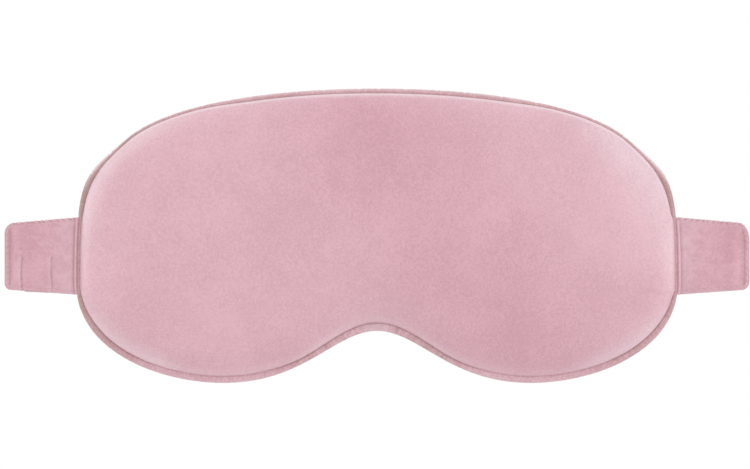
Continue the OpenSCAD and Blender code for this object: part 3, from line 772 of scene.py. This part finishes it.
def make_rim():
    """Rolled edge, drawn in at each stitch, with small uneven notches along the top."""
    edge, inward, step = mask_edge(RIM_COUNT)
    at = Places(edge, inward[:, 1])
    along = np.arange(RIM_COUNT) * step
    width = rim_width(at)
    upper = ramp(-at.lean, 0.2, 0.5)
    phase = along / STITCH_PITCH + 0.35 * wander(along, 5, 60)
    pinch = np.abs(np.sin(math.pi * phase)) ** 0.6
    notch = ramp(wander(along, 8, 11), 0.35, 0.5)
    drawn = 0.05 * (1 - pinch) + 0.22 * upper * notch + ROOT_IN[-1] * at.by_tab * (at.x < 0)
    lumps = 0.95 + 0.05 * wander(along, 9, 7)
    right = smooth(at.x / SIDE_X) * (1 - 0.6 * ramp(at.z, 2, 10))
    elbow = bump(at.z, 27, 7) * (at.wide > 70)
    mottle = at.at_notch * wander(along, 17, 6)
    # Painted shade: darker at the sides and top, less on the right, by the tabs and at the upper elbows, and
    # on the inner slopes of the notch, with uneven mottle added
    shade_and_mottle = (1 - at.below) * (1 - 0.65 * ramp(-at.lean, 0.75, 0.2)) * (1 - 0.4 * right)
    shade_and_mottle *= (1 - 0.4 * at.by_tab) * (1 - 0.5 * elbow)
    shade_and_mottle += 0.4 * at.below * (1 - ramp(at.lean, 0.82, 0.16))
    shade_and_mottle = np.clip(shade_and_mottle + 0.15 * wander(along, 14, 8) + 0.45 * mottle, 0, 1)
    # Painted highlight at the notch middle and under the lobes, with the paler spots of the mottle
    bright = 0.35 * at.below * bump(at.x, 0, 5) + 0.3 * np.maximum(-mottle, 0) + 0.12 * at.under_lobe
    # Painted seam shade where the roll meets the panel
    gap_start = 0.1 + 0.3 * (1 - at.below) + 0.45 * at.under_lobe + 0.15 * at.at_notch
    gap_slope = 1.3 - 0.6 * upper - 0.5 * at.at_notch
    rows = []
    seam_shade = []
    pale = []
    for angle in 2 * math.pi * np.arange(RIM_SIDES) / RIM_SIDES:
        reach = (width + RIM_TUCK) / 2 * (1 - math.cos(angle))
        seam_shade.append(gap_slope * np.abs(width - reach) + gap_start)
        # Painted highlight on the outer part of the roll, at the top and the upper elbows
        outer = smooth(((0.5 + 0.15 * elbow) * width - reach) / 0.7)
        pale.append((0.55 * upper + 0.3 * elbow) * outer + bright)
        reach = reach + drawn * (1 + math.cos(angle)) / 2
        x, z = (edge + reach[:, None] * inward).T
        rows.append(spots(x, SEAM_Y + RIM_HALF_T * RIM_FILL * lumps * math.sin(angle), z))
    points = np.stack(rows, axis=1).reshape(-1, 3)
    faces = grid_faces(RIM_COUNT, RIM_SIDES, wrap=True, ring=True)
    rim = add_object("rim_roll", points, faces, RIM_SATIN)
    set_values(rim, edge=spots(*seam_shade), pale=spots(*pale), shade=np.repeat(shade_and_mottle, RIM_SIDES))
    return close_up(rim)


place(make_rim(), "mask", "binding_satin", "edge_binding")

# Threads

THREAD_R = 0.13
THREAD_MERGE = 0.0005
THREAD_END = 0.45
STITCH_LEN = 1.7
STITCH_STEP = 2.2
STITCH_POINTS = 7
ACROSS_THREAD = np.array((0.31, 0.83, 0.46))


def tubes(name, paths, radius=THREAD_R, material=THREAD, sides=6):
    """One mesh of many short round threads, each along its own few points."""
    points = []
    faces = []
    for path in paths:
        along = unit_rows(np.gradient(path, axis=0))
        side = unit_rows(np.cross(along, ACROSS_THREAD))
        up = np.cross(along, side)
        count = len(path)
        first = len(points)
        for k in range(count):
            thick = radius * (THREAD_END + (1 - THREAD_END) * math.sin(math.pi * k / (count - 1)))
            for turn in np.arange(sides) * 2 * math.pi / sides:
                points.append(path[k] + thick * (math.cos(turn) * side[k] + math.sin(turn) * up[k]))
        faces += grid_faces(count, sides, first, wrap=True)
        faces.append(tuple(range(first + sides - 1, first - 1, -1)))
        faces.append(tuple(range(first + (count - 1) * sides, first + count * sides)))
    return close_up(add_object(name, points, faces, material), THREAD_MERGE)


def stitches(line, lift, skip=None):
    """Paths of a row of stitches on a line; lift is the outward direction."""
    run = run_length(line)
    lift = np.broadcast_to(lift, line.shape)
    share = np.linspace(0, 1, STITCH_POINTS)
    rise = THREAD_R * (1.5 * np.sin(math.pi * share) - 0.7)
    paths = []
    for middle in np.arange(STITCH_STEP / 2, run[-1] - STITCH_STEP / 3, STITCH_STEP):
        at = middle + STITCH_LEN * (share - 0.5)
        path = along_line(at, run, line)
        if skip is None or not skip(path[STITCH_POINTS // 2]):
            paths.append(path + rise[:, None] * along_line(at, run, lift))
    return paths


# Side tabs

TAB_ROOT_H = 26.7
TAB_REACH = TAB_X[1] - 0.7
TAB_LEN = TAB_REACH - SIDE_X
# Slope and trim of the top edge (1) and the bottom edge (-1)
TAB_SLOPES = {1: (0.09, 0.2), -1: (0.072, 0.0)}
# Run and drop of the corners of the left (-1) and right (1) tab, at the top (1) and the bottom (-1)
TAB_CORNERS = {(-1, 1): (3.0, 3.4), (-1, -1): (1.9, 2.2), (1, 1): (3.4, 6.0), (1, -1): (2.3, 3.0)}
TAB_TUCK = 1.3
TAB_STEP = 0.25
TAB_ROLL = 0.9
TAB_BEAT = 2.05
STITCH_IN = 1.3
END_STITCH_IN = 1.0
END_GROOVE_IN = 1.8
ROOT_SEAM = 0.95
ROOT_THIN = 0.6
ROOT_STITCH_OUT = 1.35
CHANNELS = (-120.65, -110.55)
CHANNEL_TOP = -6.7
CHANNEL_THREAD = 0.4
# The pad raised beside a channel row: how far to the left of the row, and its width
CHANNEL_PAD = (0.6, 0.45)
SOCKET_MID_X = np.mean(SOCKET_X)
SOCKET_MID_Y = np.mean(SOCKET_Y)
MOUTH_HALF = 4.3
MOUTH_GAP = np.ptp(SOCKET_Y) / 2 + 0.08
MOUTH_WALL = 0.42
SWELL = 0.86
SWELL_HALF = 4.9
SLEEVE_RISES = np.array((0.15, 0.8, 2.5, 4.5, 6.4))
SLEEVE_EDGE = 0.1
# Faint creases of each tab: height, slope, depth, near end and far end measured out from the mask edge
CREASES = {
    1: ((2.2, -0.12, 0.2, 1.5, 9), (-2.4, -0.05, 0.18, 2, 12), (-13.5, 0.10, 0.12, 5, 20)),
    -1: ((2.6, 0.10, 0.15, 4, 14), (-4.6, -0.04, 0.16, 6, 22), (-1.0, 0.16, 0.11, 8, 19)),
}


def mask_side():
    """Right side of the mask edge where a tab meets it, by rising z."""
    edge = mask_edge(2400)[0]
    near = edge[(edge[:, 0] > 0.85 * SIDE_X) & (edge[:, 1] > -40) & (edge[:, 1] < 25)]
    return near[np.argsort(near[:, 1])].T


MASK_SIDE_X, MASK_SIDE_Z = mask_side()


def tab_root(side, z):
    """Where a tab comes out from the rim, as its outward x at height z."""
    return np.interp(z, MASK_SIDE_Z, MASK_SIDE_X) - ROOT_IN[side]


def tab_edge_height(side, x, way):
    """Height of a tab's top (way 1) or bottom (way -1) edge from its middle."""
    slope, trim = TAB_SLOPES[way]
    run, drop = TAB_CORNERS[side, way]
    straight = TAB_ROOT_H / 2 - trim - slope * (x - SIDE_X)
    into = np.clip((x - TAB_REACH + run) / run, 0, 1)
    return straight - drop * (1 - np.sqrt(1 - into**2))


class FreeEdge:
    """Line along the top of a tab, round its end and back along the bottom."""

    def __init__(self, side):
        x = closing_in(SIDE_X - 8, TAB_REACH, 0.1, 4, 160)
        top = spots(x, TAB_Z + tab_edge_height(side, x, 1))
        bottom = spots(x, TAB_Z - tab_edge_height(side, x, -1))[::-1]
        end = spots(TAB_REACH, np.linspace(top[-1, 1], bottom[0, 1], 160)[1:-1])
        self.line = np.vstack([top, end, bottom])
        self.run = run_length(self.line)
        self.end = ramp(self.line[:, 0], TAB_REACH - 2.4, 1.8)
        self.top = (1 - self.end) * (self.line[:, 1] > TAB_Z)
        self.inward = quarter_turn(unit_rows(np.gradient(self.line, axis=0)))

    def near(self, flat):
        """Distance in from the free edge, and length along it, end share and top share there."""
        k = distance_to(flat, self.line)[1]
        inside = np.abs(((flat - self.line[k]) * self.inward[k]).sum(axis=1))
        return inside, self.run[k], self.end[k], self.top[k]


FREE = {side: FreeEdge(side) for side in SIDES.values()}


def channel_line(channel, z):
    """The x of a channel row of the left tab at height z, with a slight bow."""
    return channel - 0.3 * bump(z, -12, 4.5)


def channel_share(z):
    return smooth((CHANNEL_TOP - z) / 0.9)


def mouth(side, x, z):
    """Opening of a tab for the charging socket: half gap, and how far it lies forward."""
    if side > 0:
        return np.zeros_like(x), np.zeros_like(x)
    across = np.clip(np.abs(-x - SOCKET_MID_X) / MOUTH_HALF, 0, 1)
    share = np.sqrt(1 - across**4) * (1 - ramp(z, SOCKET_Z[1] + 0.6, 5))
    return MOUTH_GAP * share, (SEAM_Y - SOCKET_MID_Y) * share


def socket_swell(x, z):
    across = np.clip(np.abs(-x - SOCKET_MID_X) / SWELL_HALF, 0, 1)
    return SWELL * np.cos(math.pi / 2 * across**1.5) * (1 - ramp(z, SOCKET_Z[1] - 1.5, 8))


def tab_half(side, flat, face):
    """Half thickness of a tab at flat points (outward x, z), and distance to a sewn line, which sets painted
    shade along the stitch grooves, the free edge, the root seam and the channel rows.
    """
    x, z = flat.T
    inside, along, end, top = FREE[side].near(flat)
    bottom = 1 - end - top
    inset = STITCH_IN + (END_GROOVE_IN - STITCH_IN) * end
    out = x - tab_root(side, z)
    half = (TAB_HALF_T - 0.24) * quarter(inside / TAB_ROLL) + 0.16 * smooth(inside / 7)
    half *= ROOT_THIN + (1 - ROOT_THIN) * ramp(out, -0.5, 0.6)
    pull = 0.75 + 0.25 * ripple(along, STITCH_STEP)
    half -= (0.16 + 0.2 * end) * pull * bump(inside, inset, 0.33 + 0.3 * end)
    half += 0.07 * wander(along, 21 + side + face, 6.5) * bump(inside, 2.6, 1.5)
    # Painted shade along the stitch groove and the free edge
    past = inside - inset
    spread = np.where(past > 0, 0.85 - 0.65 * end, 0.85) - 0.25 * bottom
    lines = spread * np.abs(past) + 0.55 - 0.18 * end - 0.08 * bottom
    lines = np.minimum(lines, (1.6 - 0.7 * end) * inside + 0.22 - 0.15 * end)
    if face < 0:
        half -= 0.42 * bump(out, ROOT_SEAM, 0.42)
        # Painted shade along the root seam
        lines = np.minimum(lines, np.abs(out - ROOT_SEAM) + 0.34 + 0.06 * side)
        for height, slope, depth, near, far in CREASES[side]:
            level = height + slope * (out - near)
            deep = depth * ramp(out, near, 3) * smooth((far - out) / 5)
            half += deep * (0.6 * bump(z, level + 1.4, 0.9) - bump(z, level, 0.7))
    if side < 0:
        tug = 0.8 + 0.2 * ripple(z, STITCH_STEP)
        low = channel_share(z)
        for channel in CHANNELS:
            left_of = x + channel_line(channel, z)
            half += low * (0.14 * bump(left_of, *CHANNEL_PAD) - 0.24 * tug * bump(left_of, 0, 0.36))
            # Painted shadow, wider on the right side of each channel row
            sewn = np.where(left_of < 0, 0.24, 1.2) * np.abs(left_of) + 0.43
            lines = np.where(low > 0.5, np.minimum(lines, sewn), lines)
        if face < 0:
            half += socket_swell(x, z)
    gap, middle = mouth(side, x, z)
    over = gap + MOUTH_WALL * gap / MOUTH_GAP - face * middle - half
    soft = 0.3 * smooth(gap / 0.3)
    return half + np.where(gap > 0, (over + np.sqrt(over**2 + soft**2)) / 2, 0), lines


# Painted highlight by the root and beside the channel rows, and painted shade towards the outer end, kept
# off a band near the end and the raised pads
def tab_highlight_and_shade(side, points):
    x, _, z = points.T
    beyond = np.abs(x) - tab_root(side, z)
    pale = 0.16 * (1 - smooth(beyond / 10)) * smooth(beyond / ROOT_SEAM)
    pale += (0.08 + 0.02 * side) * bump(beyond, ROOT_SEAM / 3, ROOT_SEAM / 2)
    bright = bump(TAB_REACH - np.abs(x), 4, 1.6)
    if side < 0:
        for channel in CHANNELS:
            raised = channel_share(z) * bump(channel_line(channel, z) - x, *CHANNEL_PAD)
            pale += 0.15 * raised
            bright = np.maximum(bright, raised)
    return pale, 0.6 * ramp(beyond, 8, 10) * (1 - bright)


def make_tab(name, side):
    """Satin tab: two faces that meet at the free edges, and on the left a socket mouth."""
    out = closing_in(-TAB_TUCK, TAB_LEN, TAB_STEP, 1.5, 16)
    columns = len(out)
    rows = int(TAB_ROOT_H / TAB_STEP)
    out = np.tile(out, rows)
    share = np.repeat(np.linspace(0, 1, rows), columns)
    low = tab_edge_height(side, SIDE_X + out, -1)
    z = TAB_Z - low + share * (low + tab_edge_height(side, SIDE_X + out, 1))
    root = tab_root(side, z)
    x = np.where(out > 0, root + out * (TAB_REACH - root) / TAB_LEN, root + out)
    flat = spots(x, z)
    inside, along, _, top = FREE[side].near(flat)
    beat = 0.5 + 0.5 * ripple(along / TAB_BEAT + 0.4 * wander(along, 40 + side, 15), 1)
    # Dark dashes of painted shade in the small notches along the top edge
    dash = top * beat**2 * bump(inside, 0.25, 0.6)
    spared = 0.4 * top * bump(inside, STITCH_IN, 1)
    free_rim = (share == 0) | (share == 1) | (out == TAB_LEN)
    gap, middle = mouth(side, x, z)
    gap = np.where(z < TAB_Z, gap, 0)
    drop = (0.06 + 0.18 * top) * beat**4 * np.exp(-inside / 0.6)
    level = z + np.where(z > TAB_Z, -drop, drop * (gap == 0) * (inside < 3))
    sheets = []
    edges = []
    for face in (-1, 1):
        half, lines = tab_half(side, flat, face)
        lip = np.where(gap > 0, gap + 0.25 * MOUTH_WALL * gap / MOUTH_GAP - face * middle, 0)
        sheets.append(spots(side * x, SEAM_Y + face * np.where(free_rim, lip, half), level))
        edges.append(np.minimum(lines + spared, SEAM_SPAN * (1 - 1.1 * dash)))
    count = rows * columns
    faces = both_sheets(grid_faces(rows, columns), count)
    for first in range(0, count - columns, columns):
        faces.append((first, count + first, count + first + columns, first + columns))
    points = np.vstack(sheets)
    lines = np.hstack(edges)
    if side < 0:
        points, lines, faces = add_mouth(points, lines, faces, columns, count)
    tab = add_object(name, points, faces, TAB_SATIN)
    pale, shade = tab_highlight_and_shade(side, points)
    set_values(tab, edge=lines, pale=pale, shade=shade)
    return close_up(tab)


def add_mouth(points, lines, faces, columns, count):
    """Lines the socket mouth with a short sleeve that runs up inside the tab."""
    x, _, z = points[:columns].T
    gap, middle = mouth(-1, -x, z)
    wide = np.flatnonzero(gap > 0.02)
    span = np.arange(wide[0] - 1, wide[-1] + 2)
    sleeve = []
    chain = [span]
    first = len(points)
    for face, rises in ((-1, SLEEVE_RISES), (1, SLEEVE_RISES[::-1])):
        depth = SEAM_Y - middle[span] + face * gap[span]
        for rise in rises:
            chain.append(first + len(sleeve) * len(span) + np.arange(len(span)))
            sleeve.append(spots(x[span], depth, z[span] + rise))
    chain.append(count + span)
    for near, far in zip(chain[:-1], chain[1:]):
        for k in range(len(span) - 1):
            faces.append((near[k], near[k + 1], far[k + 1], far[k]))
    # Painted shade inside the socket mouth
    lines = np.hstack([lines, np.full(len(sleeve) * len(span), SLEEVE_EDGE)])
    return np.vstack([points] + sleeve), lines, faces


def tab_threads(name, side):
    """Topstitching round the free edges, and down the channel rows on the left."""
    def over_mouth(spot):
        return mouth(side, side * spot[0], spot[2])[0] > 0.3

    free = FREE[side]
    inset = STITCH_IN + (END_STITCH_IN - STITCH_IN) * free.end
    inner = free.line + inset[:, None] * free.inward
    rows = [inner[free.line[:, 0] > SIDE_X + ROOT_STITCH_OUT]]
    if side < 0:
        drop = np.arange(CHANNEL_TOP, SOCKET_Z[0] + 1.0, -0.2)
        rows += [spots(CHANNEL_THREAD - channel_line(channel, drop), drop) for channel in CHANNELS]
    paths = []
    for face in (-1, 1):
        for row in rows:
            half = tab_half(side, row, face)[0]
            line = spots(side * row[:, 0], SEAM_Y + face * half, row[:, 1])
            paths += stitches(line, (0, face, 0), skip=over_mouth)
    return tubes(name, paths)


for hand, side in SIDES.items():
    tab = make_tab(hand + "_tab_cover", side)
    place(tab, "mask", "tab_satin", hand + "_tab", hand + "_tab_lining")
    place(tab_threads(hand + "_tab_stitching", side), "mask", "tab_satin")

# Elastic strap

STRAP_ANGLE = math.radians(55)
STRAP_LAP = 24
STEP_START = math.radians(8)
STEP_TURN = math.radians(6.5)
HEM_R = 1.2
HEM_DRAW = 0.16
HEM_DRAW_LEN = 9
# Where rows lie on the rolled hem, from before the fold to after it, as shares of its radius
HEM_ROWS = np.array((-1.0, -0.97, -0.87, -0.7, -0.5, -0.25, 0, 0.25, 0.5, 0.7, 0.85))
HEM_SEAMS = (3.0, 4.6)
HEM_SEAM_IN = 1.2
PATCH_T = 1
SEWN_GAP = 0.03
STRAP_GAP = 0.3
PATCH_IN = 1
ARC_R = FOLD_X / math.sin(STRAP_ANGLE)
ARC_Y = FOLD_Y - ARC_R * math.cos(STRAP_ANGLE)
LAP_ANGLE = math.asin(STRAP_LAP / 2 / ARC_R)
PATCH_ANGLE = math.asin((STRAP_LAP - PATCH_IN) / 2 / ARC_R)
STRAP_STEP = 2 * BAND_HALF_T + 2 * (PATCH_T + SEWN_GAP) + STRAP_GAP
RIB_PITCH = 0.92
RIB_DEPTH = 0.07
TAPE_RIB_DEPTH = 0.05
BAND_EDGE_R = 0.8
BAND_TRIM = 0.05
BAND_STEP = 1
LINE_STEPS = 2000
END_ROWS = np.array((0.03, 0.1, 0.22, 0.4, 0.65))
TAPE_HALF_T = 0.22
TAPE_STITCH_IN = 0.55
CROSS_IN_X = 1.4
CROSS_IN_Z = 1.6
THREAD_SINK = 0.03
PILE_STEP = 0.95
PILE_R = 0.07
PILE_STRAY = 0.12
LOOP_HALF_W = 0.38
HOOK_STEM = np.array((0, 0.16, 0.3))
HOOK_R = 0.2


def strap_line(side, start, stop, offset):
    """Points along a strap half between two angles, moved out, with normals and lengths."""
    rise = STRAP_STEP if side > 0 else 0.0
    angle = np.linspace(start, stop, LINE_STEPS)
    radius = ARC_R + offset + rise * smooth((LAP_ANGLE + STEP_START - angle) / STEP_TURN)
    line = spots(side * radius * np.sin(angle), ARC_Y + radius * np.cos(angle))
    run = run_length(line)
    at = np.linspace(0, run[-1], int(run[-1] / BAND_STEP) + 1)
    at = np.unique(np.hstack([at, END_ROWS, run[-1] - END_ROWS]))
    line = along_line(at, run, line)
    return line, -side * quarter_turn(unit_rows(np.gradient(line, axis=0))), at


def make_band(name, line, normal, half_t, half_w, material, ribs=RIB_DEPTH, taper=1.0):
    """Woven band along a line in the XY plane, with rounded edges and lengthwise ribs.

    half_t is its half thickness and taper the share of its width, at each point of the line.
    """
    across = np.linspace(-half_w, half_w, int(8 * half_w / RIB_PITCH) + 1)
    across = np.hstack([across, across[-2:0:-1]])
    front = np.arange(len(across)) <= len(across) // 2
    ridge = 0.5 + 0.5 * ripple(across, RIB_PITCH)
    edge = quarter((half_w - np.abs(across)) / BAND_EDGE_R) * np.where(front, 1, -1)
    depth = edge * np.maximum(half_t[:, None] - ribs * (1 - ridge), 0)
    x, y = line.T[:, :, None] + depth * normal.T[:, :, None]
    points = spots(x, y, TAB_Z + np.broadcast_to(taper, len(line))[:, None] * across)
    band = add_object(name, points.reshape(-1, 3), grid_faces(len(line), len(across), wrap=True), material)
    set_values(band, rib=np.tile(ridge, len(line)))
    return close_up(band)


def hem_taper(from_fold):
    """Share of its width that the strap has at a distance from the fold."""
    return 1 - HEM_DRAW * (1 - smooth(from_fold / HEM_DRAW_LEN))


def make_strap(name, side):
    """Strap half with a rolled hem on the fold axis and a rounded tip, and its length."""
    line, normal, at = strap_line(side, STRAP_ANGLE, -LAP_ANGLE, 0)
    keep = at > HEM_R
    hem = HEM_R * HEM_ROWS
    path = np.vstack([line[0] + np.outer(hem, unit_rows(line[1] - line[0])), line[keep]])
    out = np.vstack([np.tile(normal[0], (len(hem), 1)), normal[keep]])
    from_fold = np.hstack([hem, at[keep]])
    roll = np.sqrt(np.maximum(HEM_R**2 - from_fold**2, 0))
    half = np.where(from_fold < 0, roll, np.maximum(roll, BAND_HALF_T))
    half *= quarter((at[-1] - from_fold) / 0.7)
    half_w = BAND_HALF_W - BAND_TRIM
    return make_band(name, path, out, half, half_w, ELASTIC, taper=hem_taper(from_fold)), at[-1]


def make_strap_end(name, side):
    low, high = END_X
    x = np.hstack([[low], np.linspace(low + 0.1, high - 0.1, 60), [high]])
    normal = np.tile((0.0, 1.0), (len(x), 1))
    half = BAND_HALF_T * quarter(np.minimum(x - low, high - x) / 0.6)
    line = spots(side * x, np.mean(END_Y))
    return make_band(name, line, normal, half, BAND_HALF_W - BAND_TRIM, ELASTIC, taper=hem_taper(high - x))


def end_threads(name, side):
    near = side * (END_X[0] + CROSS_IN_X)
    far = side * (END_X[1] - CROSS_IN_X)
    tall = BAND_HALF_W - CROSS_IN_Z
    short = tall * hem_taper(CROSS_IN_X)
    corners = [(near, TAB_Z - tall), (far, TAB_Z - short), (far, TAB_Z + short), (near, TAB_Z + tall)]
    paths = []
    for first, last in ((0, 1), (1, 2), (2, 3), (3, 0), (0, 2), (3, 1)):
        x, z = np.linspace(corners[first], corners[last], 60).T
        paths += stitches(spots(x, END_Y[1] - 0.04, z), (0, 1, 0))
    return tubes(name, paths)


def across_strap(spot, out, half_w):
    """Stitches in a row across a strap, at a spot of the face that looks along out."""
    return stitches(spots(*spot, TAB_Z + np.linspace(-half_w, half_w, 80)), (*out, 0))


def strap_threads(name, side):
    """Two rows of stitching beside the hem, and a box of stitching round the patch."""
    line, normal, at = strap_line(side, STRAP_ANGLE, -LAP_ANGLE, 0)
    inset = math.asin(TAPE_STITCH_IN / ARC_R)
    box_half_w = BAND_HALF_W - PATCH_IN - TAPE_STITCH_IN
    paths = []
    for face in (-1, 1):
        level = BAND_HALF_T - THREAD_SINK
        for from_fold in HEM_SEAMS:
            k = int(np.argmin(np.abs(at - from_fold)))
            half_w = (BAND_HALF_W - HEM_SEAM_IN) * hem_taper(at[k])
            paths += across_strap(line[k] + face * level * normal[k], face * normal[k], half_w)
        if face == -side:
            level = BAND_HALF_T + SEWN_GAP + 2 * TAPE_HALF_T - 0.05
        box, out, _ = strap_line(side, PATCH_ANGLE - inset, inset - PATCH_ANGLE, face * level)
        for k in (0, -1):
            paths += across_strap(box[k], face * out[k], box_half_w)
        for z in (TAB_Z - box_half_w, TAB_Z + box_half_w):
            paths += stitches(spots(*box.T, z), face * spots(*out.T, 0))
    return tubes(name, paths)


def make_patch(name, side, material, grown):
    """Hook or loop tape: a thin woven back, and the hooks or loops grown on it."""
    face = -side
    offset = face * (BAND_HALF_T + SEWN_GAP + TAPE_HALF_T)
    line, normal, at = strap_line(side, PATCH_ANGLE, -PATCH_ANGLE, offset)
    half_w = BAND_HALF_W - PATCH_IN
    half = TAPE_HALF_T * quarter(np.minimum(at, at[-1] - at) / 0.4)
    back = make_band(name, line, normal, half, half_w, material, ribs=TAPE_RIB_DEPTH)
    rng = np.random.default_rng(31 + side)
    paths = []
    for row, length in enumerate(np.arange(at[0] + PILE_STEP, at[-1] - PILE_STEP / 2, PILE_STEP)):
        for z in np.arange(-half_w + PILE_STEP, half_w - PILE_STEP / 2, PILE_STEP):
            spot_at = length + rng.uniform(-PILE_STRAY, PILE_STRAY)
            out = face * along_line(spot_at, at, normal)
            spot = along_line(spot_at, at, line) + 0.7 * TAPE_HALF_T * out
            base = np.array((*spot, TAB_Z + z + (row % 2) * PILE_STEP / 2))
            paths.append(grown(base, np.array((*out, 0.0)), rng))
    return back, tubes(name + "_pile", paths, PILE_R, material, sides=5)


def loop_shape(base, out, rng):
    turn = rng.uniform(0, math.pi)
    side = np.array((-out[1] * math.cos(turn), out[0] * math.cos(turn), math.sin(turn)))
    height = rng.uniform(0.42, 0.56)
    t = np.linspace(0, math.pi, 7)
    return base + np.outer(np.sin(t) * height, out) + np.outer(np.cos(t) * LOOP_HALF_W, side)


def hook_shape(base, out, rng):
    side = np.array((0.0, 0.0, rng.choice((-1.0, 1.0))))
    t = np.linspace(0.2, 2.6, 5)
    bend = np.outer(HOOK_STEM[-1] + HOOK_R * np.sin(t), out) + np.outer(HOOK_R * (1 - np.cos(t)), side)
    return base + np.vstack([np.outer(HOOK_STEM, out), bend])


PATCHES = {"left": ("loop_patch", LOOP_PILE, "loop_pile", loop_shape),
           "right": ("hook_patch", HOOK_PILE, "hook_pile", hook_shape)}
for hand, side in SIDES.items():
    strap_body = hand + "_strap"
    strap, strap_length = make_strap(hand + "_strap_band", side)
    place(strap, strap_body, "elastic", strap_body)
    seams = place(strap_threads(hand + "_strap_stitching", side), strap_body, "elastic")
    node_name, pile_look, pile_slot, grown = PATCHES[hand]
    tape, pile = make_patch(node_name + "_tape", side, pile_look, grown)
    place(tape, strap_body, pile_slot, node_name)
    place(pile, strap_body, pile_slot)
    end = place(make_strap_end(hand + "_sewn_end", side), "mask", "elastic", strap_body + "_end")
    place(end_threads(hand + "_end_stitching", side), "mask", "elastic")
